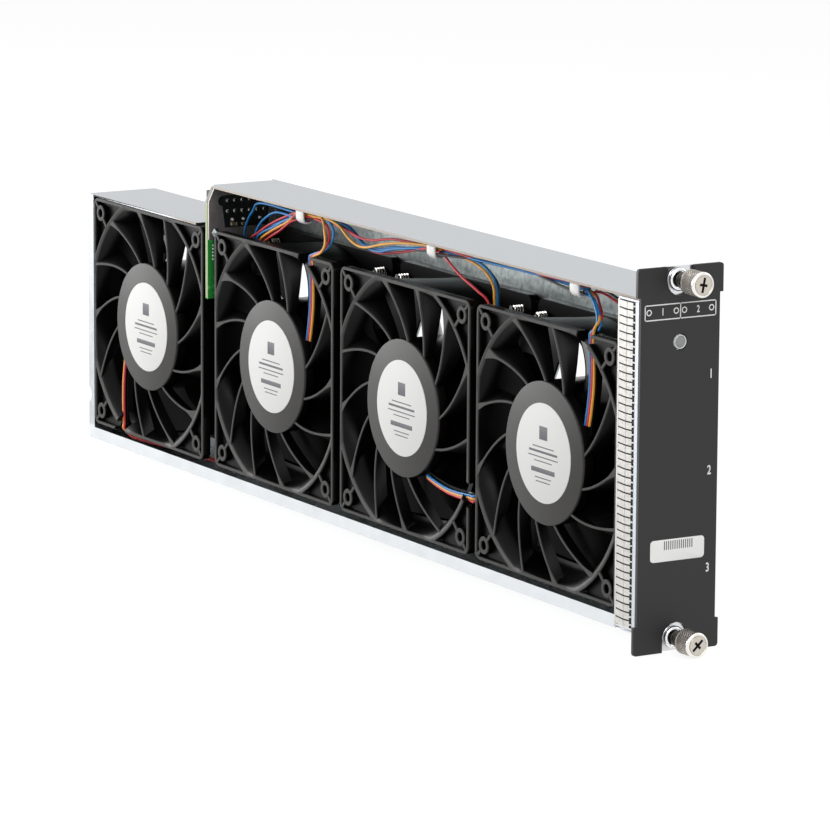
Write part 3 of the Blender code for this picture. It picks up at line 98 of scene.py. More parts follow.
# The camera as it was fitted to the photograph's corners, holes and rings
AIM = np.array((-0.0193, -0.062418, 0.076207))   # metres
AZIMUTH, ELEVATION, ROLL = -30.698, 10.695, 0.330   # degrees
DISTANCE = 2.40122   # metres
FOCAL_LENGTH, PHOTO_WIDTH = 5094.77, 830   # pixels
SENSOR = 36   # mm
right, up, back = turned_axes(AZIMUTH, ELEVATION, ROLL)
scene = bpy.context.scene
camera = bpy.data.objects.new("camera", bpy.data.cameras.new("camera"))
scene.collection.objects.link(camera)
placed(camera, right, up, back, AIM + back * DISTANCE)
camera.data.sensor_width = SENSOR
camera.data.lens = SENSOR * FOCAL_LENGTH / PHOTO_WIDTH
camera.data.clip_start, camera.data.clip_end = 0.1, 50
scene.camera = camera
scene.view_settings.view_transform = "Standard"

# The sweep glows white where it is seen, and lights the tray more dimly than it looks
world = bpy.data.worlds.new("white_sweep")
scene.world = world
world.use_nodes = True
tree = world.node_tree
tree.nodes.clear()
dim = add_node(tree, "ShaderNodeBackground", {"Color": (1, 1, 1, 1), "Strength": 0.4})
white = add_node(tree, "ShaderNodeBackground", {"Color": (1, 1, 1, 1), "Strength": 1.0})
mixed = add_node(tree, "ShaderNodeMixShader", {0: seen_by(tree, "Camera", "Glossy", "Transmission"),
                                               1: dim.outputs[0], 2: white.outputs[0]})
add_node(tree, "ShaderNodeOutputWorld", {"Surface": mixed.outputs[0]})

paper = bpy.data.materials.new("white_paper_sweep")
paper.use_nodes = True
tree = paper.node_tree
tree.nodes.clear()
matt = add_node(tree, "ShaderNodeBsdfDiffuse", {"Color": to_linear("#8a8a8a")})
glow = add_node(tree, "ShaderNodeEmission", {"Color": (1, 1, 1, 1), "Strength": 0.86})
both = add_node(tree, "ShaderNodeAddShader", {0: matt.outputs[0], 1: glow.outputs[0]})
only = add_node(tree, "ShaderNodeBsdfDiffuse", {"Color": to_linear("#d9d9d9")})
mixed = add_node(tree, "ShaderNodeMixShader", {0: seen_by(tree, "Camera", "Glossy"),
                                               1: only.outputs[0], 2: both.outputs[0]})
add_node(tree, "ShaderNodeOutputMaterial", {"Surface": mixed.outputs[0]})
FAR, UNDER = 20, -0.0002   # how far the paper reaches, and its level just under the tray, metres
sheet = bpy.data.meshes.new("floor")
sheet.from_pydata([(-FAR, -FAR, UNDER), (FAR, -FAR, UNDER), (FAR, FAR, UNDER), (-FAR, FAR, UNDER)],
                  [], [(0, 1, 2, 3)])
floor = bpy.data.objects.new("floor", sheet)
scene.collection.objects.link(floor)
floor.data.materials.append(paper)

# Soft boxes: angles in degrees, distance and size in metres, power in watts
for name, azimuth, elevation, distance, width, height, power in (
        ("left_box", -143, 11, 1.7, 1.9, 0.9, 28),
        ("front_box", -16, 28, 1.9, 1.2, 0.9, 13),
        ("over_box", 40, 75, 1.6, 1.2, 0.9, 2),
        ("right_box", 70, 30, 1.8, 1.2, 0.9, 3)):
    lamp = bpy.data.lights.new(name, "AREA")
    lamp.shape = "RECTANGLE"
    lamp.size, lamp.size_y, lamp.energy = width, height, power
    holder = bpy.data.objects.new(name, lamp)
    scene.collection.objects.link(holder)
    axes = turned_axes(azimuth, elevation, 0)
    placed(holder, *axes, np.array((0, 0, 0.08)) + axes[2] * distance)

# Tray: one zinc-plated steel sheet, 1 mm, blanked, pierced for the four exhausts and bent up.
# The plating is satin, faintly mottled, with fine rolled lines; inside the channel it is painted darker as
# painted shade, in a coarser mottle, the lip that slides in is painted brighter as a painted highlight,
# and its cut edges are bare.


def new_material(name, colour, roughness, metallic=0.0):
    """A Principled material: its node tree, its shader, and object coordinates in millimetres."""
    made = bpy.data.materials.new(name)
    made.use_nodes = True
    made.diffuse_color = to_linear(colour)
    tree = made.node_tree
    shader = tree.nodes["Principled BSDF"]
    shader.inputs["Base Color"].default_value = to_linear(colour)
    shader.inputs["Roughness"].default_value = roughness
    shader.inputs["Metallic"].default_value = metallic
    place = add_node(tree, "ShaderNodeTexCoord")
    mm = add_node(tree, "ShaderNodeMapping", {"Vector": place.outputs["Object"],
                                              "Scale": (1000, 1000, 1000)})
    return made, tree, shader, mm.outputs[0]


def varied(tree, shader, socket, pattern, low, high):
    """Drives a shader socket by a pattern, from a low to a high colour or number."""
    if isinstance(low, str):
        mix = add_node(tree, "ShaderNodeMix", {"Factor": pattern}, data_type="RGBA")
        mix.inputs["A"].default_value = to_linear(low)
        mix.inputs["B"].default_value = to_linear(high)
        tree.links.new(mix.outputs["Result"], shader.inputs[socket])
    else:
        span = add_node(tree, "ShaderNodeMapRange", {"Value": pattern, "To Min": low, "To Max": high})
        tree.links.new(span.outputs[0], shader.inputs[socket])


def overlaid(tree, shader, pattern, colour):
    """Lays a colour over the linked base colour, where a pattern is 1."""
    under = shader.inputs["Base Color"].links[0].from_socket
    over = add_node(tree, "ShaderNodeMix", {"Factor": pattern}, data_type="RGBA")
    tree.links.new(under, over.inputs["A"])
    if isinstance(colour, str):
        over.inputs["B"].default_value = to_linear(colour)
    else:
        tree.links.new(colour, over.inputs["B"])
    tree.links.new(over.outputs["Result"], shader.inputs["Base Color"])


def masked(tree, *limits):
    """1 where each value is past its stop, 0 where one is before its start, and a ramp between."""
    within = 1.0
    for value, start, stop in limits:
        ramp = add_node(tree, "ShaderNodeMapRange", {"Value": value, "From Min": start,
                                                     "From Max": stop})
        within = add_node(tree, "ShaderNodeMath", {0: within, 1: ramp.outputs[0]},
                          operation="MULTIPLY").outputs[0]
    return within


def raised(tree, shader, pattern, height_mm):
    """Raises the surface by a pattern times a height in millimetres."""
    bump = add_node(tree, "ShaderNodeBump", {"Height": pattern, "Distance": height_mm / 1000,
                                             "Strength": 1.0})
    tree.links.new(bump.outputs[0], shader.inputs["Normal"])


def finish(name, colour, roughness, metallic=0.0, grain=1.0, detail=2.0, tones=None, gloss=None,
           height=0.0, constants=(), distortion=None, kind="ShaderNodeTexNoise", **settings):
    """A material with one pattern, whose grain is its scale per millimetre.

    The pattern runs its colour between two tones and its roughness between two values, and
    raises the surface by a height in mm. Constants are set on the shader's own sockets."""
    made, tree, shader, mm = new_material(name, colour, roughness, metallic)
    for socket, value in dict(constants).items():
        shader.inputs[socket].default_value = value
    inputs = {"Vector": mm, "Scale": grain, "Detail": detail}
    if distortion is not None:
        inputs["Distortion"] = distortion
    pattern = add_node(tree, kind, inputs, **settings).outputs["Fac"]
    if tones:
        varied(tree, shader, "Base Color", pattern, *tones)
    if gloss:
        varied(tree, shader, "Roughness", pattern, *gloss)
    if height:
        raised(tree, shader, pattern, height)
    return made


def coated(name, material):
    """Gives a CAD node one material, smooth where its faces meet below 30 degrees."""
    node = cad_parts[name]
    node.data.materials.clear()
    node.data.materials.append(material)
    weld = node.modifiers.new("weld", "WELD")
    weld.merge_threshold = 0.000005
    split = node.modifiers.new("creases", "EDGE_SPLIT")
    split.split_angle = np.radians(30)
    node.data.polygons.foreach_set("use_smooth", np.ones(len(node.data.polygons), bool))


# Zinc plating, satin: even pale grey, mottled over about 9 mm, rolled lines 0.4 mm apart
zinc, tree, shader, mm = new_material("zinc_plated_steel_rolled", "#b1b5b9", 0.30, 1.0)
cloud = add_node(tree, "ShaderNodeTexNoise", {"Vector": mm, "Scale": 0.11, "Detail": 3.0})
rolled = add_node(tree, "ShaderNodeMapping", {"Vector": mm, "Scale": (2.4, 0.05, 2.4)})
lines = add_node(tree, "ShaderNodeTexNoise", {"Vector": rolled.outputs[0], "Scale": 1.0,
                                              "Detail": 2.0})
varied(tree, shader, "Base Color", cloud.outputs["Fac"], "#aeb3b7", "#c0c4c7")
varied(tree, shader, "Roughness", cloud.outputs["Fac"], 0.24, 0.38)
raised(tree, shader, lines.outputs["Fac"], 0.004)
place = add_node(tree, "ShaderNodeSeparateXYZ", {"Vector": mm})
x, y, z = place.outputs
# Inside the channel the plating is painted darker, in a coarser mottle: painted shade over the mottle.
spangle = add_node(tree, "ShaderNodeTexNoise", {"Vector": mm, "Scale": 0.45, "Detail": 4.0})
mottle = add_node(tree, "ShaderNodeMix", {"Factor": masked(tree, (spangle.outputs["Fac"], 0.35, 0.65))},
                  data_type="RGBA")
mottle.inputs["A"].default_value = to_linear("#7f8685")
mottle.inputs["B"].default_value = to_linear("#a0a7a7")
channel_painted_shade = masked(tree, (x, 19.8, 19.4), (y, 142.0, 141.0), (z, 159.5, 159.1))
overlaid(tree, shader, channel_painted_shade, mottle.outputs["Result"])
# The lip that slides in is painted brighter: a painted highlight.
overlaid(tree, shader, masked(tree, (z, 17.0, 15.0), (x, 10.0, 0.0)), "#d3d7da")
cut_edges = masked(tree, (x, -19.0, -19.2), (z, 120.0, 121.0), (y, 262.0, 261.0))
overlaid(tree, shader, cut_edges, "#857d76")
for name in ("tray_shell", "board_screw_near", "board_screw_far"):
    coated(name, zinc)
# The step bracket is cut from older, duller stock of the same plating
dull = finish("zinc_plated_steel_dull", "#8f8984", 0.5, 0.85, 0.25, 4.0, ("#7c7672", "#a29c97"),
              (0.42, 0.6))
coated("step_bracket", dull)

# Front bulkhead and its gasket flange: plate, brighter plating than the tray's, nearly smooth.
# It closes the tray's front end behind the faceplate, and its tabs hold the captive screws.
# Its edge shows as a bright line beside the faceplate.
bright = finish("bright_zinc_plated_plate", "#dcdde0", 0.20, 1.0, 0.3, gloss=(0.16, 0.28))
coated("front_bulkhead", bright)

# Faceplate: sheet steel with a fine black powder coat, fixed to the bulkhead.
# The coat is matt with a grain of about 0.3 mm; its edges catch a thin line of light.
# The round status light sits in it, and its print is plain rules and numbers.
coat = finish("black_powder_coat", "#161617", 0.52, grain=3.2, detail=3.0, gloss=(0.44, 0.62),
              height=0.03)
coated("faceplate", coat)
# Fan frames: four 120 x 120 x 38 mm frames, moulded in glass-filled black PBT.
# Each has a bell mouth, corner pockets with screw bosses, twelve curved vanes to the hub base,
# and a flat strut in the place of the thirteenth, which carries the lead.

TRAY = np.array((-19.3, -255.775, 77.6))   # origin of the tray's datum in the row frame, mm
FANS = {4: (78.4, 90), 3: (204.6, 0), 2: (331.8, 90), 1: (464.6, -90)}   # place along Y, turn
# Half widths of the square rim and of the flats that cut the mouth, and radii of the mouth,
# the corner pocket's inner side, the hub base and the barrel, all in mm from a fan's axis
HALF_WIDTH, FLAT, MOUTH, POCKET, HUB, BARREL = 60, 58.4, 64, 65.6, 33, 58


def turned(points, turn):
    """Points turned about the depth axis by an angle in degrees."""
    c, s = np.cos(np.radians(turn)), np.sin(np.radians(turn))
    u, v, d = np.moveaxis(np.asarray(points, float), -1, 0)
    return np.stack((u * c - v * s, u * s + v * c, d), -1)


def in_fan(index, points):
    """Datum millimetres of points given as right, up and depth of one fan."""
    along, turn = FANS[index]
    u, v, d = np.moveaxis(turned(points, turn), -1, 0)
    return np.stack((d, along - u, v), -1)


def grid_quads(rows, columns, wrap_rows, wrap_columns):
    """Quads of a grid of points; a wrapped direction joins its last line to its first."""
    r = np.arange(rows - (not wrap_rows))[:, None]
    c = np.arange(columns - (not wrap_columns))[None, :]
    below, beside = (r + 1) % rows, (c + 1) % columns
    corners = (r * columns + c, r * columns + beside, below * columns + beside, below * columns + c)
    return np.stack(corners, -1).reshape(-1, 4)


def piece(name, grids, materials, body="tray", crease=32, stands_for=(), place=np.asarray):
    """One finished piece from grids of points (rows, columns, 3), in millimetres.

    A grid is (points, wrap rows, wrap columns, material number), on the tray's datum unless a
    place function brings it there. Doubled points are merged, which closes seams and poles,
    faces are turned outwards, and edges above the crease angle in degrees stay sharp."""
    points, quads, tones, start = [], [], [], 0
    for sheet, wrap_rows, wrap_columns, tone in grids:
        rows, columns = sheet.shape[:2]
        points.append((place(sheet).reshape(-1, 3) + TRAY) / 1000)
        quads.append(grid_quads(rows, columns, wrap_rows, wrap_columns) + start)
        tones.append(np.full(len(quads[-1]), tone))
        start += rows * columns
    mesh = bpy.data.meshes.new(name)
    mesh.from_pydata(np.concatenate(points), [], np.concatenate(quads))
    mesh.polygons.foreach_set("material_index", np.concatenate(tones))
    work = bmesh.new()
    work.from_mesh(mesh)
    bmesh.ops.remove_doubles(work, verts=work.verts, dist=2e-7)
    bmesh.ops.dissolve_degenerate(work, dist=1e-7, edges=work.edges)
    bmesh.ops.recalc_face_normals(work, faces=work.faces)
    work.to_mesh(mesh)
    work.free()
    for material in materials:
        mesh.materials.append(material)
    mesh.polygons.foreach_set("use_smooth", np.ones(len(mesh.polygons), bool))
    mesh.set_sharp_from_angle(angle=np.radians(crease))
    made = bpy.data.objects.new(name, mesh)
    scene.collection.objects.link(made)
    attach(made, body)
    if stands_for:
        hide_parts(*stands_for)
    return made


def polar(radius, angle, depth, centre=(0, 0)):
    """Points at a radius, angle and depth about a centre, all spread to one shape."""
    radius, angle, depth = np.broadcast_arrays(radius, angle, depth)
    return np.stack((centre[0] + radius * np.cos(angle), centre[1] + radius * np.sin(angle), depth), -1)


def turned_grid(profile, sides, tone=0, centre=(0, 0)):
    """Surface of a profile (radius, depth) turned about the depth axis through a centre."""
    radius, depth = np.array(profile, float).T
    angle = np.linspace(0, 2 * np.pi, sides, endpoint=False)[:, None]
    return polar(radius, angle, depth, centre), True, False, tone


def capped(points):
    """A grid of closed cross-sections with its first and last section drawn to their centres."""
    first, last = points[:1].mean(1, keepdims=True), points[-1:].mean(1, keepdims=True)
    width = points.shape[1]
    return np.concatenate((first.repeat(width, 1), points, last.repeat(width, 1)))


def square_to(line):
    """Unit vectors square to a flat line, at each of its points."""
    way = np.gradient(line, axis=0)
    way /= np.linalg.norm(way, axis=1, keepdims=True)
    return np.stack((-way[:, 1], way[:, 0]), -1)


def rib_grid(line, half, top, bottom, round_off=0.25):
    """A rib along a line of (u, v) points: half widths, and depths of its top and bottom.

    Its cross-section is a rectangle whose two top edges are cut at a slant."""
    line = np.asarray(line, float)
    side = square_to(line)
    half, top, bottom = (np.broadcast_to(x, len(line)).astype(float) for x in (half, top, bottom))
    across = np.stack((half, half, half - round_off, round_off - half, -half, -half), -1)
    level = np.stack((bottom, top + round_off, top, top, top + round_off, bottom), -1)
    flat = line[:, None] + side[:, None] * across[..., None]
    return capped(np.concatenate((flat, level[..., None]), -1)), False, True, 0


def reach_of_square(angle, half, corner):
    """Distance from the centre to the edge of a rounded square: its flat side, or the
    far crossing with the corner's circle."""
    c, s = np.abs(np.cos(angle)), np.abs(np.sin(angle))
    wide, thin = np.maximum(c, s), np.minimum(c, s)
    centre = half - corner
    along = centre * (wide + thin)
    arc = along + np.sqrt(np.maximum(along ** 2 - 2 * centre ** 2 + corner ** 2, 0))
    return np.where(half / wide * thin <= centre, half / wide, arc)


def mouth_of(angle):
    """Radius of the bell mouth: a circle cut off by the four flat sides."""
    return np.minimum(MOUTH, FLAT / np.maximum(np.abs(np.cos(angle)), np.abs(np.sin(angle))))


def shell_grid():
    """Frame shell: one closed profile of mouth ring, pocket, rim and barrel for each angle.

    The profile's radii follow the mouth's and the square rim's reach, the pocket sinks only
    where there is room between them, and the rim dips where the lead leaves."""
    mouth, pocket, corner = np.arccos(FLAT / MOUTH), np.arccos(FLAT / POCKET), np.arctan2(56, 60)
    eighth = np.unique(np.concatenate((np.linspace(0, mouth, 8), np.linspace(mouth, pocket, 4),
                                       np.linspace(pocket, corner, 9),
                                       np.linspace(corner, np.pi / 4, 5))))
    quarter = np.concatenate((eighth, np.pi / 2 - eighth[-2:0:-1]))
    angle = (quarter[None] + np.arange(4)[:, None] * np.pi / 2).ravel()
    slot = np.radians(np.array((-32.35, -32.25, -23.45, -23.35)) + 360)
    angle = np.sort(np.concatenate((angle, slot)))
    lip, ring_out = mouth_of(angle), reach_of_square(angle, FLAT, 2.4)
    ring = np.minimum(POCKET, ring_out)
    room = np.clip((ring_out - ring) / 0.8, 0, 1)
    room = room * room * (3 - 2 * room)
    edge = reach_of_square(angle, HALF_WIDTH, 4)
    wide = np.maximum(np.abs(np.cos(angle)), np.abs(np.sin(angle)))
    belly = np.maximum(59.6, np.minimum(62.2, 59.85 / wide))
    profile = [(BARREL, 38.0), (BARREL, 20.0)]
    for k in np.linspace(0, 1, 7):
        turn = k * np.pi / 2
        profile.append((BARREL + (lip - BARREL) * (0.5 * k + 0.5 * (1 - np.cos(turn))),
                        8 * (0.5 * (1 - k) + 0.5 * (1 - np.sin(turn)))))
    fillet = 0.3 * room
    profile += [(ring - fillet, 0.0), (ring, fillet), (ring, 3.2 * room), (ring_out, 3.2 * room),
                (ring_out, fillet), (ring_out + fillet, 0.0), (edge - 0.3, 0.0), (edge, 0.3),
                (edge, 4.5), (belly, 4.5), (59.6, 30.0), (59.6, 33.5), (edge, 33.5), (edge, 37.7),
                (edge - 0.3, 38.0)]
    radius, depth = (np.stack([column[i] + 0 * angle for column in profile], -1) for i in (0, 1))
    dip = (angle > slot[0] + 1e-4) & (angle < slot[3] - 1e-4)
    depth = np.where(dip[:, None] & (depth < 5.1) & (radius > 46.5), 5.1, depth)
    return polar(radius, angle[:, None], depth), True, True, 0


def sweep_of(radius):
    """Degrees a vane has swept round at a radius: a straight rise with a small bow."""
    share = (radius - HUB) / (MOUTH - HUB)
    return 25 * share + 7.3 * share * (1 - share)


def vane_grid(index, pad):
    """One vane: rounded top edge, leaning blade below it, widened to a pad at its outer end."""
    start = -54.5 + index * 360 / 13
    reach = MOUTH
    for _ in range(4):
        reach = mouth_of(np.radians(start + sweep_of(reach)))
    share = np.linspace(0, 1, 22)
    near, deep = 32 + (reach + 0.6 - 32) * share, 32 + (58.6 - 32) * share
    thick = 0.75 + pad * np.clip((share - 0.72) / 0.28, 0, 1) ** 1.5
    middle = start + sweep_of(near)
    low = start + sweep_of(deep) - 7.0 * share
    bottom = 4.8 + 5.4 * share
    ring = []
    for radius, angle, half, level in (
            (near, middle, thick, 0.35), (near, middle, thick - 0.25, 0.1),
            (near, middle, 0.25 - thick, 0.1), (near, middle, -thick, 0.35),
            ((near + deep) / 2, (middle + low) / 2, -0.7, 0.5 * bottom),
            (deep, low, -0.55, bottom), (deep, low, 0.55, bottom),
            ((near + deep) / 2, (middle + low) / 2, 0.7, 0.5 * bottom)):
        at = np.radians(angle + np.degrees(half / radius))
        ring.append(polar(radius, at, level))
    return capped(np.stack(ring, 1)), False, True, 0


# How much wider some vanes end, and the lead strut's line in the fan's right and up, in mm
PADS = {5: 1.6, 4: 1.4, 3: 3.4, 2: 1.6, 11: 1.8, 9: 1.6, 8: 1.6}
STRUT = np.array([(59.0, -33.0), (56.0, -33.0), (50.0, -33.4), (43.8, -33.6), (35.0, -33.3),
                  (25.0, -31.8), (17.4, -30.0), (13.2, -29.0)])


def frame_grids():
    """Everything of one fan frame, in the fan's right, up and depth."""
    grids = [shell_grid()]
    grids += [vane_grid(i, PADS.get(i, 0.25)) for i in range(1, 13)]
    share = np.linspace(0, 1, len(STRUT))
    grids.append(rib_grid(STRUT, 2.2, 4.5, 9.0 - 2.6 * share, round_off=0.1))
    grids.append(turned_grid([(0, -0.5), (32.5, -0.5), (32.85, -0.35), (HUB, 0), (HUB, 5), (6, 5),
                              (6, 25), (4.5, 25), (4.5, 5.8), (0, 5.8)], 96))
    boss = [(2.2, 3.4), (2.2, 0.25), (2.45, 0), (3.95, 0), (4.2, 0.25), (4.2, 3.4)]
    for corner in np.radians((45, 135, 225, 315)):
        out = np.array((np.cos(corner), np.sin(corner)))
        grids.append(rib_grid([out * 64.9, out * 70.4], 0.8, 0.0, 3.4))
        grids.append(rib_grid([out * 78.0, out * 81.9], 0.8, 0.0, 3.4))
        grids.append((turned_grid(boss, 32, centre=out * 74.246)[0], True, True, 0))
    return grids


# Glass-filled PBT, moulded: near-black, satin, with a faint orange-peel grain of 0.5 mm.
# The open face's edges, 0.8 mm deep, are painted paler as a painted highlight, so that they draw light
# lines.
pbt, tree, shader, mm = new_material("glass_filled_pbt_moulded", "#080707", 0.32)
shader.inputs["Specular IOR Level"].default_value = 0.13
grain = add_node(tree, "ShaderNodeTexNoise", {"Vector": mm, "Scale": 2.0, "Detail": 3.0})
varied(tree, shader, "Roughness", grain.outputs["Fac"], 0.30, 0.46)
raised(tree, shader, grain.outputs["Fac"], 0.012)
depth = add_node(tree, "ShaderNodeSeparateXYZ", {"Vector": mm})
# The front 0.8 mm is painted paler than the rest: a painted highlight on the open face's edges.
varied(tree, shader, "Base Color", masked(tree, (depth.outputs["X"], -18.5, -19.0)),
       "#050404", "#454443")
frame_parts = frame_grids()
for index in FANS:
    piece(f"fan_body_{index}", frame_parts, [pbt], crease=40,
          stands_for=[f"fan_frame_{index}"], place=lambda points: in_fan(index, points))

# Fan screws: sixteen self-tapping screws through the tray's back panel into the far flanges.
# Zinc-plated steel, pan heads; the bright thread ends stand 6 mm out between a fan's flanges.
# Their pitch is coarser than a real one, so that the turns show above the fans' top edges.


def thread_grid(major, minor, start, stop, pitch, centre, sides=20):
    """Thread: the radius is minor + (major - minor) times a clipped triangular wave.

    The wave's phase is depth / pitch less the angle as a share of a turn."""
    depth = np.linspace(start, stop, int(abs(stop - start) / pitch * 12) + 2)[None, :]
    angle = np.linspace(0, 2 * np.pi, sides, endpoint=False)[:, None]
    phase = (depth / pitch - angle / (2 * np.pi)) % 1
    radius = minor + (major - minor) * np.clip(2.4 * (1 - np.abs(2 * phase - 1)) - 1.2, 0, 1)
    radius[:, 0], radius[:, -1] = 0, 0
    return polar(radius, angle, depth, centre), True, False, 0


passivated = finish("steel_zinc_clear_passivated", "#f6f3ec", 0.28, 0.7, gloss=(0.2, 0.36))
# The dark core shows in the thread's roots between the crests: painted shade there, with a little oil.
root_oil_and_painted_shade = finish("steel_thread_root_oil_and_painted_shade", "#171513", 0.5, 0.4, 1.5, tones=("#100f0d", "#26231f"))
HOLE = 52.5   # from a fan's axis to its screws, across and up, mm
head = [(0, 41.4), (1.6, 41.35), (3.4, 40.9), (4.3, 40.2), (4.5, 39.75), (4.5, 39.6), (2.4, 39.6),
        (2.4, 37), (0, 37)]
core = [(0, 36), (1.5, 36), (1.5, 27.4), (0, 27.4)]
grids = []
for centre in ((-HOLE, -HOLE), (-HOLE, HOLE), (HOLE, -HOLE), (HOLE, HOLE)):
    grids += [turned_grid(head, 24, 0, centre), turned_grid(core, 16, 1, centre),
              thread_grid(2.4, 1.0, 36, 27.2, 1.45, centre)]
grids = [(in_fan(index, points), *rest) for index in FANS for points, *rest in grids]
piece("fan_screws", grids, [passivated, root_oil_and_painted_shade], crease=50)

# Impellers: seven swept blades on a cup, moulded in black PBT with a smoother, glossier skin.
# The cup holds the magnet ring on its steel shaft, which turns in the hub base's sleeve.
# The blades run 1.2 mm clear of the barrel.


def blade_grid():
    """One blade: a sweep about the shaft from front to back, thick in the middle of its chord.

    Across the chord the angle and the depth both advance, the depth with a small bow; along
    the span the blade skews forward and thins."""
    span = np.linspace(0, 1, 14)[:, None]
    along = np.linspace(0, 1, 22)[None, :]
    radius = 31.8 + (56.8 - 31.8) * span
    sweep = np.radians(46 - 8 * span)
    wall = 0.95 * np.interp(along, (0, 0.33, 0.67, 1), (0.35, 1.0, 0.85, 0.25)) * (1 - 0.35 * span)
    angle = np.radians(14) * span ** 2 + sweep * (along - 0.5)
    depth = 12.8 + 20.7 * (along + 0.1 * np.sin(np.pi * along)) * 0.98
    slope = np.arctan(20.7 / (radius * sweep))
    sides = []
    for side in (1, -1):
        turn = angle - side * wall * np.sin(slope) / radius
        sides.append(polar(radius, turn, depth + side * wall * np.cos(slope)))
    return capped(np.concatenate((sides[0], sides[1][:, ::-1]), 1))


rotor = finish("pbt_moulded_glossy", "#050403", 0.2, grain=0.12, detail=4.0, gloss=(0.14, 0.28),
               constants={"Specular IOR Level": 0.13})
cup = turned_grid([(0, 35), (29, 35), (30.8, 34.6), (32.6, 33.6), (HUB, 32.4), (HUB, 6.8),
                   (30.8, 6.8), (30.8, 32.8), (0, 32.8)], 96)
grids = [cup] + [(turned(blade_grid(), k * 360 / 7), False, True, 0) for k in range(7)]
for index in FANS:
    piece(f"fan_rotor_{index}", grids, [rotor], body=f"rotor_{index}", crease=40,
          stands_for=[f"impeller_{index}"], place=lambda points: in_fan(index, points))

# Inside each hub: ferrite magnet ring, steel shaft, sintered bronze sleeve and stator.
# They are closed in, so each keeps its plain CAD form and has only its own finish.
# The stator's form has no windings of its own: the colour of its enamelled copper tells of them.
ferrite = finish("ferrite_pressed", "#3b3b3e", 0.6, grain=1.5, tones=("#303033", "#48484c"))
ground = finish("steel_ground", "#c9c7c2", 0.18, 1.0, 0.6, gloss=(0.14, 0.24), distortion=1.0,
                kind="ShaderNodeTexWave", bands_direction="X")
bronze = finish("bronze_sintered", "#a07848", 0.5, 1.0, 5.0, tones=("#8c6638", "#b08a58"))
copper = finish("copper_wire_enamelled", "#a4562c", 0.32, 0.9, 0.9, tones=("#8a4420", "#b8683a"),
                distortion=0.6, kind="ShaderNodeTexWave")
for index in FANS:
    coated(f"magnet_ring_{index}", ferrite)
    coated(f"shaft_{index}", ground)
    coated(f"bearing_{index}", bronze)
    coated(f"stator_{index}", copper)

# Interface board at the step, with the driver boards in the hubs: glass-epoxy laminate.
# Green solder mask over the copper, painted near black by the connector as painted shade, and pale routed
# edges.
# The boards and their plated holes keep the CAD form; the solder and the parts are added.
laminate, tree, shader, mm = new_material("glass_epoxy_green_mask", "#1f5a2b", 0.34)
tracks = add_node(tree, "ShaderNodeTexVoronoi", {"Vector": mm, "Scale": 0.28}, feature="F1",
                  distance="MANHATTAN")
copper_run = add_node(tree, "ShaderNodeMath", {0: tracks.outputs["Distance"], 1: 3.0},
                      operation="PINGPONG")
lines = add_node(tree, "ShaderNodeMath", {0: copper_run.outputs[0], 1: 1.1},
                 operation="GREATER_THAN")
varied(tree, shader, "Base Color", lines.outputs[0], "#2f9a40", "#57c565")
raised(tree, shader, lines.outputs[0], 0.03)
height = add_node(tree, "ShaderNodeSeparateXYZ", {"Vector": mm})
# Above 133 mm the mask is painted near black: painted shade by the connector.
overlaid(tree, shader, masked(tree, (height.outputs["Z"], 133.0, 134.0)), "#0b120c")
for name in [f"driver_board_{index}" for index in FANS] + ["interface_board"]:
    coated(name, laminate)


def block_grid(low, high, tone=0, round_off=0.2):
    """A box with its four long edges along Y rounded, from its low to its high corner, in mm."""
    low, high = np.array(low, float), np.array(high, float)
    turn = np.linspace(0, np.pi / 2, 4)
    middle, half = (low + high) / 2, (high - low) / 2 - (round_off, 0, round_off)
    ring = []
    for start, a, b in ((0, 1, 1), (1, -1, 1), (2, -1, -1), (3, 1, -1)):
        angle = turn + start * np.pi / 2
        ring.append(np.stack((middle[0] + a * half[0] + round_off * np.cos(angle),
                              0 * angle, middle[2] + b * half[2] + round_off * np.sin(angle)), -1))
    ring = np.concatenate(ring)
    rows = np.stack([ring + (0, y, 0) for y in (low[1], high[1])])
    return capped(rows), False, True, tone


# Solder: a dome of tin round each pin's tail, 1.9 mm across, and a column of small joints
tin = finish("tin_solder", "#fdfcf8", 0.3, 0.5, 1.2, gloss=(0.28, 0.44))
dome = np.array([(0, -1.1), (0.4, -1.04), (0.7, -0.8), (0.88, -0.45), (0.95, 0.02), (0, 0.02)])
grids = []
places = [(11.2 + 4.2 * column, height) for height in (73.7, 68.2) for column in range(6)]
places += [(14.0, 63.8), (20.3, 63.8), (29.7, 63.8)]
joints = [(x, z, 1.0) for x, z in places] + [(2.9, 44.4 + 1.75 * k, 0.55) for k in range(5)]
for x, z, share in joints:
    ring, *rest = turned_grid(dome * share, 16, centre=(x, z))
    grids.append((ring[..., (0, 2, 1)] + (0, 398.6, 0), *rest))
piece("solder_joints", grids, [tin], crease=50)

# Parts on the board's front: three chips of fired ceramic, each with two tinned ends
ceramic = finish("ceramic_fired", "#7a6238", 0.4, tones=("#6b5530", "#8c7344"))
grids = []
for x, z, wide, tall in ((14.6, 61.6, 3.2, 1.6), (20.2, 61.3, 2.0, 1.3), (33.6, 55.0, 3.2, 1.6)):
    for low, high, tone in ((-0.5, 0.5, 1), (-0.38, 0.38, 0)):
        more = 0.02 * (1 - tone)
        grids.append(block_grid((x + low * wide, 397.68 - 2 * more, z - tall / 2 - more),
                                (x + high * wide, 398.68, z + tall / 2 + more), tone))
piece("board_parts", grids, [ceramic, tin])

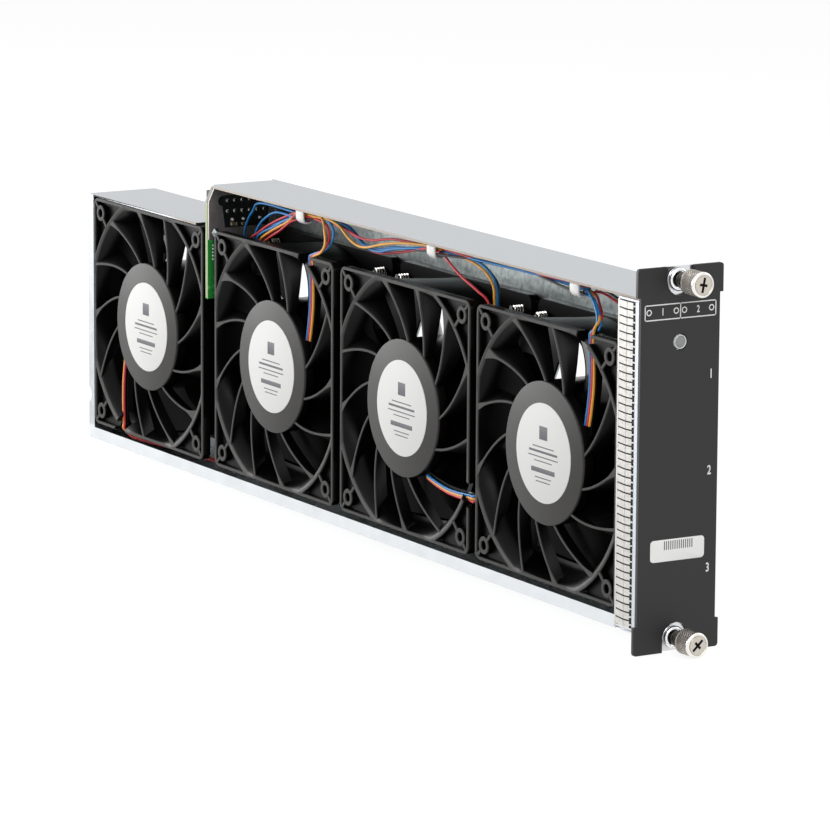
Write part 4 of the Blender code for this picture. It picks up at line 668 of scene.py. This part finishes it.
# Board's bare edge on the camera's side: a strip of laminate as thick as the board
edge_sheet = finish("glass_epoxy_routed_edge", "#a9b58a", 0.7, grain=2.2,
                    tones=("#98a67c", "#bcc79e"), distortion=1.5, kind="ShaderNodeTexWave",
                    bands_direction="Y")
strip = block_grid((-0.05, 398.8, 25.0), (0.02, 401.0, 73.2), round_off=0.03)
piece("board_edge", [strip], [edge_sheet])

# Connectors: the blind-mate shroud behind the board, two headers and their plugs.
# Glass-filled nylon, moulded, matt black; they stand on the board, and the plugs push in.
moulded = finish("nylon_glass_filled_black", "#161617", 0.5, grain=2.5, gloss=(0.42, 0.58), height=0.02)
for name in ("blind_mate_connector", "harness_header", "harness_plug", "fan_header", "fan_plug"):
    coated(name, moulded)

# Wire clips: three saddles of natural white nylon, moulded, stuck under the top panel.
# Each is a strip bent into an open hook round the wires, 7.6 mm wide at its foot above them.
# Light sinks a little way into the nylon, which makes its shaded side pale.
nylon = finish("nylon_moulded_natural", "#f6f5f1", 0.42, grain=0.5, tones=("#f0eee9", "#faf9f6"),
               constants={"Subsurface Weight": 0.15, "Subsurface Scale": 0.001})


def hook_grid(along):
    """A strip swept along a hook's middle line: a foot, a drop, and an arc of 220 degrees.

    The strip's four long edges are bevelled, and it narrows to 4 mm at the hook's free end."""
    arc = np.radians(np.linspace(180, 400, 26))
    line = [(11.2, 80.35), (9.0, 80.35), (6.2, 80.35), (4.7, 80.25), (4.15, 79.7), (4.1, 78.6)]
    line = np.array(line + [(7.2 + 3.1 * np.cos(a), 77.2 + 3.1 * np.sin(a)) for a in arc])
    half = np.interp(np.arange(len(line)), (0, 8, 14, len(line) - 1), (3.8, 3.6, 2.6, 2.0))
    rows = []
    for a, b in ((0.5, 0.75), (0.35, 1), (-0.35, 1), (-0.5, 0.75), (-0.5, -0.75), (-0.35, -1),
                 (0.35, -1), (0.5, -0.75)):
        reach = np.where(abs(b) == 1, half, half - 0.25) * np.sign(b)
        flat = line + square_to(line) * a
        rows.append(np.stack((flat[:, 0], along + reach, flat[:, 1]), -1))
    return capped(np.stack(rows, 1)), False, True, 0


for name, along in (("front", 61.1), ("middle", 186.2), ("rear", 311.3)):
    piece(f"clip_{name}", [hook_grid(along)], [nylon], crease=45,
          stands_for=[f"wire_clip_{name}"])

# Wires: single stranded wires with a smooth PVC jacket, 1.25 mm, in blue, red, yellow, black.
# Each is a tube along a spline through its resting points, and each lead stands for one bundle.
# They lie loosely together, meet in the clips and end in the plugs or on the struts.


def spline(points, steps=10):
    """Points along a smooth line: a Catmull-Rom cubic between each two given points."""
    knots = np.asarray(points, float)
    knots = np.concatenate((2 * knots[:1] - knots[1:2], knots, 2 * knots[-1:] - knots[-2:-1]))
    t = np.linspace(0, 1, steps, endpoint=False)[None, :, None]
    a, b, c, d = (knots[i:len(knots) - 3 + i, None] for i in range(4))
    curve = 0.5 * (2 * b + (c - a) * t + (2 * a - 5 * b + 4 * c - d) * t ** 2
                   + (3 * b - a - 3 * c + d) * t ** 3)
    return np.concatenate((curve.reshape(-1, 3), knots[-2:-1]))


def wire_grid(points, tone, radius=0.62, sides=10):
    """A round tube along a spline: each section is a circle square to the way, ends closed."""
    line = spline(points)
    way = np.gradient(line, axis=0)
    way /= np.linalg.norm(way, axis=1, keepdims=True)
    side = np.cross(way, (1.0, 0.05, 0.02))
    side /= np.linalg.norm(side, axis=1, keepdims=True)
    top = np.cross(side, way)
    angle = np.linspace(0, 2 * np.pi, sides, endpoint=False)[None, :, None]
    ring = line[:, None] + radius * (np.cos(angle) * side[:, None] + np.sin(angle) * top[:, None])
    return capped(ring), False, True, tone


jackets = []
for name, colour, dark in (("blue", "#1f88d0", "#176fb0"), ("red", "#da3442", "#b42735"),
                           ("yellow", "#f4b243", "#e29c30"), ("black", "#1b1b1d", "#111113")):
    jackets.append(finish(f"pvc_jacket_extruded_{name}", colour, 0.36, grain=0.4,
                          tones=(dark, colour), gloss=(0.28, 0.46)))
BLUE, RED, YELLOW, BLACK = range(4)

# Main harness: from the plug up to the rear clip, along the top, and through the front clip.
# In the clips they stand in a ring of 1.9 mm radius. The last three wires are fan 2's, which
# leave the harness at the rear clip, and four of the others go on to the front clip.
grids = []
for tone, x, z, rise in (
        (BLUE, 20.5, 46.6, [(20.5, 379.4, 47.4), (20.4, 380.6, 50.6), (19.5, 385.0, 53.2),
                            (16.6, 390.0, 56.2), (14.2, 384.2, 63.3), (12.2, 374.3, 70.9),
                            (10.0, 360.6, 77.2)]),
        (BLUE, 16.5, 44.6, [(16.6, 378.4, 45.2), (16.2, 374.6, 49.4), (14.6, 375.6, 55.0),
                            (13.2, 371.0, 59.4), (11.4, 360.0, 64.4), (9.6, 342.0, 70.0)]),
        (RED, 14.5, 47.4, [(14.6, 378.9, 48.0), (14.6, 376.9, 51.2), (13.0, 376.9, 57.1),
                           (11.4, 368.0, 60.8), (9.6, 353.0, 67.2), (8.4, 335.0, 73.6)]),
        (YELLOW, 18.4, 47.4, [(18.4, 377.0, 48.2), (17.2, 370.6, 51.6), (13.0, 366.0, 57.4),
                              (10.0, 360.0, 60.2), (8.2, 346.0, 65.8), (7.0, 328.6, 72.4)]),
        (RED, 22.6, 44.4, [(22.4, 377.4, 45.4), (20.0, 371.6, 50.4), (13.4, 371.0, 55.8),
                           (12.2, 367.0, 57.4), (10.4, 354.0, 62.6), (8.0, 331.0, 71.6)]),
        (BLACK, 24.4, 46.6, [(24.2, 377.4, 47.6), (21.6, 369.6, 52.8), (16.4, 364.0, 59.0),
                             (12.6, 350.0, 64.2), (9.8, 333.0, 71.0)]),
        (BLUE, 18.5, 44.6, [(18.4, 378.6, 45.6), (17.6, 377.0, 51.0), (15.4, 378.0, 56.2),
                            (13.4, 371.0, 63.0), (11.6, 360.0, 69.6), (10.2, 345.0, 74.6)]),
        (RED, 20.5, 44.4, [(20.4, 377.0, 45.4), (18.8, 369.8, 50.0), (12.0, 362.0, 56.4),
                           (9.4, 352.0, 61.0), (7.8, 338.0, 66.6), (7.2, 326.0, 72.6)]),
        (BLUE, 16.4, 47.2, [(16.4, 378.4, 48.4), (15.4, 373.0, 52.6), (12.2, 369.0, 58.4),
                            (10.6, 361.0, 62.4), (9.0, 347.0, 67.0), (7.8, 331.0, 72.8)])):
    share = len(grids)
    ring = np.radians(40 * share)
    across, up = 7.2 + 1.9 * np.cos(ring), 77.0 + 1.9 * np.sin(ring)
    line = [(x, 383.8, z)] + rise + [(across, 317.0, up), (across, 309.0, up)]
    if share > 5:
        grids.append(wire_grid(line, tone))
        continue
    if tone == YELLOW:
        line += [(7.0, 296.0, 78.4), (7.0, 287.8, 78.6), (7.0, 277.5, 76.7), (7.0, 268.7, 72.1),
                 (7.0, 259.8, 69.7), (7.0, 251.1, 70.1), (7.0, 237.4, 73.3), (7.0, 221.5, 76.2),
                 (7.0, 202.1, 78.2)]
    elif share == 2:
        line += [(8.0, 296.0, 78.2), (9.0, 273.4, 75.2), (9.0, 260.8, 73.2), (9.0, 248.3, 73.8),
                 (9.0, 233.4, 76.4), (9.0, 220.0, 77.4), (8.6, 203.0, 78.0)]
    elif tone == BLUE:
        line += [(9.5 + share, 292.0, 77.6), (10.4 + share, 275.7, 76.4), (9.4 + share, 260.0, 70.6),
                 (8.2 + share, 249.0, 69.2 + share), (8.0 + share, 240.4, 69.4 + share),
                 (8.0 + share, 230.5, 71.8 + share), (8.0 + share, 212.2, 74.9)]
    else:
        line += [(11.4, 294.0, 77.0), (11.0 + share / 4, 272.0, 72.8), (10.4, 250.0, 67.9),
                 (10.0 + share / 4, 230.0, 70.2), (8.8, 208.0, 74.6)]
    line += [(across, 192.0, up), (across, 180.5, up)]
    if share in (0, 1, 2, 5):
        line += [(8.6 + share / 4, 150.0, 77.6), (9.2 + share / 4, 110.0, 77.9),
                 (across + 0.4, 74.0, up + 0.2), (across, 66.5, up), (across, 55.6, up)]
    grids.append(wire_grid(line, tone))
piece("harness_wires", grids, jackets, stands_for=["wire_harness"])


def strut_wires(index, tones, inner=1.3, reach=59.4):
    """Wires on a fan's strut, from its outer end into the hub: their spacing goes to inner, mm."""
    route = np.array([(reach, -32.9), *STRUT[1:-1]])
    for count, tone in enumerate(tones):
        beside = (count - (len(tones) - 1) / 2) * np.linspace(1.3, inner, len(route))
        flat = np.column_stack((route[:, 0], route[:, 1] + beside, np.full(len(route), 3.6 - 0.1 * count)))
        yield tone, in_fan(index, flat)


# Fan 2: down from the rear clip, over the frame's top edge and along its upright strut
grids = []
for tone, route in strut_wires(2, (YELLOW, RED, BLUE), 1.5):
    above = {YELLOW: [(7.4, 303.0, 78.0), (6.2, 293.1, 78.4), (6.0, 290.4, 72.5), (4.6, 287.5, 67.0),
                      (3.2, 289.4, 62.4)],
             BLUE: [(8.4, 302.0, 77.8), (7.0, 287.8, 77.4), (8.0, 285.0, 73.1), (7.6, 286.2, 67.8),
                    (6.4, 289.6, 63.8), (4.0, 293.6, 61.9)],
             RED: [(7.8, 304.0, 77.0), (7.0, 291.0, 76.0), (7.2, 288.0, 71.0), (5.8, 287.6, 66.4),
                   (4.0, 291.4, 62.4)]}[tone]
    grids.append(wire_grid([(7.2, 309.0, 77.2)] + above + list(route), tone))
piece("fan_2_wires", grids, jackets, stands_for=["fan_lead_2"])

# Fan 3: from the middle clip down into the gap between the middle fans, then onto its strut
grids = []
above = {RED: [(7.0, 177.0, 74.8), (7.0, 164.3, 68.6), (7.4, 150.1, 63.6), (9.0, 142.4, 58.2)],
         YELLOW: [(9.0, 172.9, 77.4), (10.0, 156.8, 75.2), (11.0, 147.2, 71.4), (11.6, 142.4, 65.6),
                  (11.6, 141.6, 57.6)],
         BLUE: [(10.0, 166.9, 77.2), (11.0, 152.2, 75.3), (12.6, 144.8, 70.7), (13.0, 142.0, 65.2),
                (13.0, 141.4, 58.1)],
         BLACK: [(11.0, 168.0, 76.6), (11.4, 157.3, 76.6), (13.2, 147.6, 71.6), (14.2, 142.2, 66.0),
                 (14.2, 141.4, 58.0)]}
for tone, route in strut_wires(3, (RED, YELLOW, BLUE, BLACK), 0.7):
    gap = [(12.0, 141.3, 40.0), (11.2, 141.3, 15.0), (10.6, 141.3, -8.0), (8.4, 141.4, -22.0),
           (5.4, 142.4, -29.6)]
    if tone == BLACK:
        route = route[:2]
    bend = [(x + 0.5 * tone, y, z - tone) for x, y, z in gap]
    grids.append(wire_grid([(7.2, 182.0, 77.2 - tone / 3), (7.6, 179.0, 77.4 - tone / 3)]
                           + above[tone] + bend + list(route), tone))
piece("fan_3_wires", grids, jackets, stands_for=["fan_lead_3"])

# Fan 4: from the front clip, down behind the gasket and onto its upright strut
grids = []
above = {BLUE: [(7.0, 54.6, 77.2), (7.0, 50.0, 73.2), (6.0, 45.6, 69.0), (4.9, 43.4, 65.0),
                (3.8, 43.6, 61.8)],
         RED: [(9.6, 52.4, 76.0), (9.2, 47.6, 70.6), (7.2, 43.2, 66.8), (4.2, 43.8, 62.8)],
         YELLOW: [(8.2, 53.4, 76.4), (7.8, 48.4, 70.2), (5.6, 42.4, 66.2), (3.1, 42.0, 63.2)]}
for tone, route in strut_wires(4, (YELLOW, RED, BLUE), 1.6):
    grids.append(wire_grid([(7.2, 58.4, 77.0)] + above[tone] + list(route), tone))
grids.append(wire_grid([(8.0, 58.0, 75.4), (7.8, 51.0, 74.0), (7.0, 46.0, 70.0), (6.6, 42.6, 64.4),
                        (6.6, 44.6, 60.8)], BLUE))
piece("fan_4_wires", grids, jackets, stands_for=["fan_lead_4"])

# Fan 1: from the small plug behind the board, down the gap, under the fan and onto its strut
grids = []
for tone, route in strut_wires(1, (YELLOW, RED)):
    lower = [(16.0, 410.2, 41.2), (16.5, 410.0, 37.0), (17.6, 409.0, 31.0), (19.0, 406.2, 23.0),
             (19.6, 402.6, 15.0), (19.6, 400.9, 4.0), (18.2, 400.4, -20.0), (17.0, 400.4, -40.0),
             (16.4, 401.2, -54.0), (15.6, 408.0, -62.6), (14.8, 425.0, -64.2), (13.5, 445.0, -64.2),
             (11.5, 465.0, -64.2), (8.5, 482.0, -64.0), (5.4, 491.6, -63.0)]
    bend = [(x + 1.3 * tone - 1.3, y, z) for x, y, z in lower]
    grids.append(wire_grid(bend + list(route), tone))
piece("fan_1_wires", grids, jackets, stands_for=["fan_lead_1"])

# Status light: two wires from the front clip, through the channel's front end, to the lens
grids = []
for tone, over in ((RED, 0.0), (BLACK, 1.3)):
    line = [(11.8, 56.0, 76.5), (12.8, 50.0, 76.2), (14.8, 41.0, 73.0), (16.8, 31.0, 68.4),
            (18.4, 21.0, 64.2), (19.1, 12.0, 62.2), (19.3, 6.6, 61.9)]
    grids.append(wire_grid([(x + over / 2, y, z + over) for x, y, z in line], tone))
piece("light_wires", grids, jackets, stands_for=["light_lead"])

# Spring-finger gasket: a comb of 41 fingers on one band, clipped over the bulkhead's flange.
# Spring steel strip 0.15 mm thick, blanked, tin-plated to near white, and formed to a crown.
# The fingers' roots are at the band, and their feet rest on a rail near the faceplate.
plated = finish("spring_steel_tin_plated", "#c9c6c0", 0.3, 0.9, 0.5, 3.0, ("#bcbab6", "#d4d2ce"),
                (0.22, 0.42), 0.03)
# Behind the fingers lies a dark grey sheet that paints shade into the slits between them: painted shade.
slit_shade_sheet = finish("dark_sheet_painted_shade", "#1f1f20", 0.6, gloss=(0.5, 0.75))
# The feet rest on a zinc-plated rail, which they have rubbed bright
rubbed_zinc = finish("zinc_plated_steel_rubbed", "#c2c8ce", 0.34, 0.9, 0.8, gloss=(0.26, 0.42))


def finger_grid(low, high):
    """One strip of the comb: its line rises from the band to a creased crown and comes down.

    The section is a rectangle 0.15 mm thick along X, and the foot is only 0.7 mm wide."""
    line = np.array([(17.2, 0.42), (16.8, 0.44), (15.4, 0.62), (13.4, 0.90), (11.2, 1.20),
                     (9.8, 1.40), (9.6, 0.98), (9.3, 0.98), (9.1, 1.42), (7.6, 1.20), (6.4, 1.00),
                     (5.5, 0.84), (5.4, 0.82), (4.6, 0.66), (3.9, 0.5)])
    narrow = np.where(line[:, 0] < 5.45, 1.1, 0.0)
    rows = []
    for out, z, inset in ((0.075, low, narrow), (0.075, high, -narrow), (-0.075, high, -narrow),
                          (-0.075, low, narrow)):
        rows.append(np.stack((-line[:, 1] - out, line[:, 0], z + inset), -1))
    return capped(np.stack(rows, 1)), False, True, 0


BOTTOM, TOP, FINGERS, GAP = -66.4, 79.9, 41, 0.68   # the comb's ends and the gap between fingers, mm
edges = np.linspace(BOTTOM, TOP, FINGERS + 1)
grids = [finger_grid(low + GAP / 2, high - GAP / 2) for low, high in zip(edges, edges[1:])]
grids.append(block_grid((-0.56, 16.9, BOTTOM), (-0.34, 18.05, TOP), round_off=0.05))
grids.append(block_grid((-0.50, 1.6, BOTTOM), (-0.34, 4.1, TOP), 2, round_off=0.05))
# The dark sheet of painted shade behind the fingers' slits
grids.append(block_grid((-0.33, 3.9, BOTTOM), (-0.30, 17.0, TOP), 1, round_off=0.01))
piece("finger_strip", grids, [plated, slit_shade_sheet, rubbed_zinc], crease=14,
      stands_for=["emi_gasket"])

# Captive screws' ferrules: steel bushes pressed into the bulkhead's tabs, chrome bright.
# Each is a flange with a raised ring, and a dish round the screw's neck painted dark as painted shade.
chrome = finish("steel_chrome_plated", "#e9eaec", 0.08, 1.0, 0.8, gloss=(0.05, 0.14))
dish_painted_shade = finish("steel_dish_painted_shade", "#1d1c1b", 0.3, 0.8, gloss=(0.22, 0.4))


def on_screw(height, points):
    """Datum millimetres of points given round a captive screw: across, up, and out of the plate."""
    a, b, out = np.moveaxis(np.asarray(points, float), -1, 0)
    return np.stack((MIDDLE + a, -out, height + b), -1)


MIDDLE, SCREWS = 19.3, {"upper": 89.35, "lower": -71.45}   # X of the screws, and Z of each, mm
for side, height in SCREWS.items():
    flange = turned_grid([(3.4, -1.8), (3.4, 0.0), (5.2, 0.0), (5.2, 0.5), (5.0, 0.9), (4.5, 1.3),
                          (4.1, 1.4), (3.8, 1.25), (3.5, 0.85), (3.4, 0.8)], 64)
    # The dish is painted dark: painted shade round the screw's neck.
    dish = turned_grid([(3.4, 0.8), (3.0, 0.7), (2.6, 0.8), (2.3, 1.15), (2.1, 1.3), (1.9, 1.2),
                        (1.9, -1.8), (3.4, -1.8)], 64, tone=1)
    piece(f"ferrule_{side}", [flange, dish], [chrome, dish_painted_shade],
          stands_for=[f"{side}_ferrule"], place=lambda points: on_screw(height, points))

# Captive thumbscrews: turned steel, nickel-plated, with a warm sheen and a diamond knurl.
# The head is a deep skirt over the spring; a cross with one long slot is pressed in its face.
# The screw turns in its retaining ring, and both travel in together.
# The rim is painted bright as a painted highlight, the knurl is darker all round, and the recess is
# painted darkest as painted shade.
nickel = finish("steel_turned_nickel_plated", "#ccc6bd", 0.2, 1.0, 1.4, 3.0, ("#bcb5ab", "#d8d2ca"),
                (0.14, 0.28))
# The rim's brighter tone is a painted highlight.
rim = finish("steel_nickel_plated_painted_highlight", "#efece7", 0.16, 1.0, 1.4, 3.0, gloss=(0.1, 0.22))
grip = finish("steel_knurled_nickel_plated", "#a39e98", 0.22, 1.0, 0.5, tones=("#8f8a84", "#b9b3ac"))
# The recess is painted near black: painted shade in the cross.
recess = finish("steel_recess_painted_shade", "#1c1a18", 0.5, 0.6, 2.0, tones=("#141210", "#2a2724"))


def knurl_grid(radius, start, stop, count=36, depth=0.42):
    """Knurled cylinder: two crossed sets of helical waves, and the smaller is the height left.

    The waves are sines of count / 2 periods a turn, and fade out over the last 0.6 mm."""
    angle = np.linspace(0, 2 * np.pi, count * 8, endpoint=False)[:, None]
    level = np.linspace(start, stop, 64)[None, :]
    twist = (level - start) / radius * 0.6
    one = np.abs(np.sin((angle + twist) * count / 2))
    two = np.abs(np.sin((angle - twist) * count / 2))
    fade = np.clip(np.minimum(level - start, stop - level) / 0.6, 0, 1)
    return polar(radius - depth * (1 - np.minimum(one, two)) * fade, angle, level)


def cross_grid():
    """Cross recess: a four-armed outline that shrinks and sinks to a small flat floor.

    Its arms are 1.2 mm wide. Two reach 2.0 mm and two reach 3.4 mm, so the long ones make a slot.
    The reach at an angle is to the arm's side or to its end, whichever is nearer."""
    angle = []
    for k in range(4):
        end, start = (np.degrees(np.arctan2(0.6, arm)) for arm in ((2.0, 3.4), (3.4, 2.0))[k % 2])
        angle += [np.linspace(-end, end, 7) + 90 * k, [45 + 90 * k],
                  np.linspace(end + 1, 89 - start, 14) + 90 * k]
    angle = np.radians(np.unique(np.concatenate(angle)))
    across, up = np.abs(np.cos(angle)), np.abs(np.sin(angle))
    reach = np.minimum(np.where(up > across, 3.4, 2.0) / np.maximum(across, up),
                       0.6 / np.maximum(np.minimum(across, up), 0.05))
    rows = []
    for share, level in ((1.0, 19.33), (0.96, 19.05), (0.75, 18.3), (0.45, 17.6), (0.0, 17.45)):
        rows.append(polar(share * reach, angle, level))
    return np.stack(rows), angle, reach


def face_grid(angle, reach):
    """The head's face, from the recess's outline to the chamfer, with a shallow turned ring."""
    profile = ((reach, 19.33), (3.8, 19.33), (4.1, 19.33), (4.2, 19.0), (4.5, 19.0), (4.62, 19.33),
               (5.0, 19.28), (5.35, 19.12), (5.58, 18.9), (5.7, 18.6))
    return np.stack([polar(radius, angle, level) for radius, level in profile])


sink, angle, reach = cross_grid()
face = face_grid(angle, reach)
for side, height in SCREWS.items():
    spin = {"upper": -11, "lower": -47}[side]   # how far each screw happens to be turned, degrees
    body = turned_grid([(5.7, 18.6), (5.75, 18.4), (5.75, 18.2)], 288, tone=2)
    skirt = turned_grid([(5.75, 9.7), (5.72, 9.1), (5.45, 8.8), (4.6, 8.8), (4.4, 9.0), (4.4, 16.6),
                         (1.6, 16.6), (1.6, -1.9), (1.2, -2.1), (1.2, -3.2), (1.6, -3.4),
                         (1.6, -4.0)], 96)
    grids = [(sink, False, True, 1), (face[:5], False, True, 0), (face[4:], False, True, 2), body,
             (knurl_grid(5.75, 9.7, 18.2), True, False, 3), skirt,
             thread_grid(1.6, 1.3, -4.0, -10.5, 0.6, (0, 0), sides=24)]
    piece(f"screw_{side}", grids, [nickel, recess, rim, grip], body=f"{side}_screw",
          crease=28, stands_for=[f"{side}_thumbscrew"],
          place=lambda points: on_screw(height, turned(points, spin)))
    coated(f"{side}_retaining_ring", ground)

# Springs: one round a captive screw's neck, wound of 0.8 mm spring wire, six and a half turns.
# Music wire with a thin dark oil film; it presses on the ferrule and on the head's floor.
# It rides on the tray, with a mesh of its own; nothing here shortens it as the screw travels in.
music = finish("music_wire_drawn", "#9b9892", 0.28, 1.0, 1.5, tones=("#4b4946", "#716e69"))
for side, height in SCREWS.items():
    turn = np.linspace(0, 6.5 * 2 * np.pi, 260)
    climb = np.interp(turn / (2 * np.pi), (0, 0.9, 5.6, 6.5), (0.0, 0.9, 13.0, 13.9))
    ring = np.linspace(0, 2 * np.pi, 8, endpoint=False)
    coil = polar(3.1 + 0.4 * np.cos(ring), turn[:, None], 2.1 + climb[:, None] + 0.4 * np.sin(ring))
    spring = piece(f"spring_{side}", [(capped(coil), False, True, 0)], [music],
                   stands_for=[f"{side}_spring"], place=lambda points: on_screw(height, points))
    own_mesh(spring)

# Status light: a domed lens of milky grey polycarbonate in a light grey moulded sleeve
milky = finish("polycarbonate_milky", "#8f9290", 0.3, grain=1.5, tones=("#838684", "#9b9e9c"),
               constants={"Subsurface Weight": 0.2, "Subsurface Scale": 0.001})
sleeve = finish("polycarbonate_moulded_grey", "#e2e3e2", 0.35, grain=1.5, gloss=(0.28, 0.44))
dome = [(0, 2.25), (0.8, 2.2), (1.6, 2.02), (2.2, 1.8), (2.5, 1.68), (2.6, 1.5), (2.6, -6), (0, -6)]
ring = [(2.65, 1.55), (2.72, 1.85), (2.9, 1.95), (3.08, 1.9), (3.2, 1.7), (3.2, -6), (2.65, -6)]
LIGHT = 61.8   # height of the light, mm
piece("lens", [turned_grid(dome, 48)], [milky], stands_for=["status_lens"],
      place=lambda points: on_screw(LIGHT, points))
piece("lens_sleeve", [(turned_grid(ring, 48)[0], True, True, 0)], [sleeve],
      stands_for=["status_bezel"], place=lambda points: on_screw(LIGHT, points))

# Faceplate's screen print: white epoxy ink, 0.02 mm thick, a little uneven in its cover.
# A ruled double box with four rings and the plain numbers 1 and 2, and 1, 2, 3 down the side.
ink = finish("epoxy_ink_screen_printed", "#e9e9e8", 0.5, grain=4.0, tones=("#dededd", "#f2f2f1"))


def printed_bar(x_low, x_high, z_low, z_high, base=-1.6, tone=0):
    """A flat rectangle of ink 0.02 mm thick, on the faceplate's front or on another base."""
    return block_grid((x_low, base - 0.02, z_low), (x_high, base, z_high), tone, round_off=0.01)


grids = [printed_bar(0.5, 38.1, z, z + 0.5) for z in (72.1, 78.75)]
grids += [printed_bar(x, x + 0.5, 72.1, 79.25) for x in (0.5, 19.0, 37.6)]
for x in (2.8, 17.0, 21.3, 35.6):
    ring = turned_grid([(0.92, -1.62), (1.42, -1.62), (1.42, -1.6), (0.92, -1.6)], 32, 0, (x, 75.85))[0]
    grids.append((ring[..., (0, 2, 1)], True, True, 0))
piece("printed_rules", grids, [ink])
for name, digit, x, z, tall in (("box_one", "1", 10.0, 74.2, 3.2), ("box_two", "2", 28.6, 74.2, 3.2),
                                ("slot_one", "1", 35.9, 44.2, 4.2), ("slot_two", "2", 35.7, 0.9, 4.2),
                                ("slot_three", "3", 35.6, -43.2, 4.2)):
    letter = bpy.data.curves.new(name, "FONT")
    letter.body, letter.align_x, letter.size, letter.extrude = digit, "CENTER", 1.0, 0.002
    letter.offset = 0.018
    curve = bpy.data.objects.new(name, letter)
    scene.collection.objects.link(curve)
    bpy.context.view_layer.update()
    flat = bpy.data.meshes.new_from_object(curve)
    bpy.data.objects.remove(curve)
    corners = np.empty(len(flat.vertices) * 3)
    flat.vertices.foreach_get("co", corners)
    across, rise, lift = corners.reshape(-1, 3).T
    scale = tall / (rise.max() - rise.min())
    spot = np.stack((x + across * scale * 0.72, -1.61 - lift * 4, z + (rise - rise.min()) * scale), -1)
    flat.vertices.foreach_set("co", ((spot + TRAY) / 1000).ravel())
    flat.materials.append(ink)
    mark = bpy.data.objects.new(f"number_{name}", flat)
    scene.collection.objects.link(mark)
    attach(mark, "tray")

# Sticker: satin white polyester film with rounded corners and even bars in faded grey print
film = finish("polyester_film_white", "#f4f4f2", 0.34, grain=0.4, gloss=(0.26, 0.42))
toner = finish("thermal_print_grey", "#4c4a50", 0.5, grain=1.2, tones=("#3f3d43", "#6a6870"))
angle = np.linspace(0, 2 * np.pi, 64, endpoint=False)
corner_x = np.sign(np.cos(angle)) * 12.45 + 1.8 * np.cos(angle)
corner_z = np.sign(np.sin(angle)) * 3.15 + 1.8 * np.sin(angle)
rows = [np.stack((19.35 + share * corner_x, level + 0 * angle, -31.25 + share * corner_z), -1)
        for share, level in ((0, -1.72), (0.995, -1.72), (1, -1.7), (1, -1.6), (0, -1.6))]
grids = [(np.stack(rows), False, True, 0)]
for k in range(14):
    left = 12.3 + k * 1.12
    grids.append(printed_bar(left, left + 0.5, -31.0, -27.0, -1.72, 1))
piece("sticker", grids, [film, toner])

# Hub labels: round matt white polyester labels, 46 mm across, with plain bars
label = finish("polyester_film_label", "#dededc", 0.5, grain=0.3, gloss=(0.45, 0.6),
               constants={"Specular IOR Level": 0.25})
for index, (along, _) in FANS.items():
    disc, *rest = turned_grid([(0, -0.8), (22.85, -0.8), (23, -0.75), (23, -0.5), (0, -0.5)], 96)
    grids = [(in_fan(index, disc), *rest)]
    for z, half, tall in ((9.2, 3.4, 6.2), (2.6, 9.0, 0.55), (0.4, 12.0, 1.1), (-2.0, 12.5, 0.55),
                          (-4.0, 7.5, 0.5), (-8.2, 10.0, 2.2), (-11.6, 7.0, 0.5), (-13.4, 6.0, 0.5)):
        grids.append(block_grid((-0.82, along - half, z - tall / 2),
                                (-0.8, along + half, z + tall / 2), 1, round_off=0.005))
    piece(f"hub_label_{index}", grids, [label, toner])
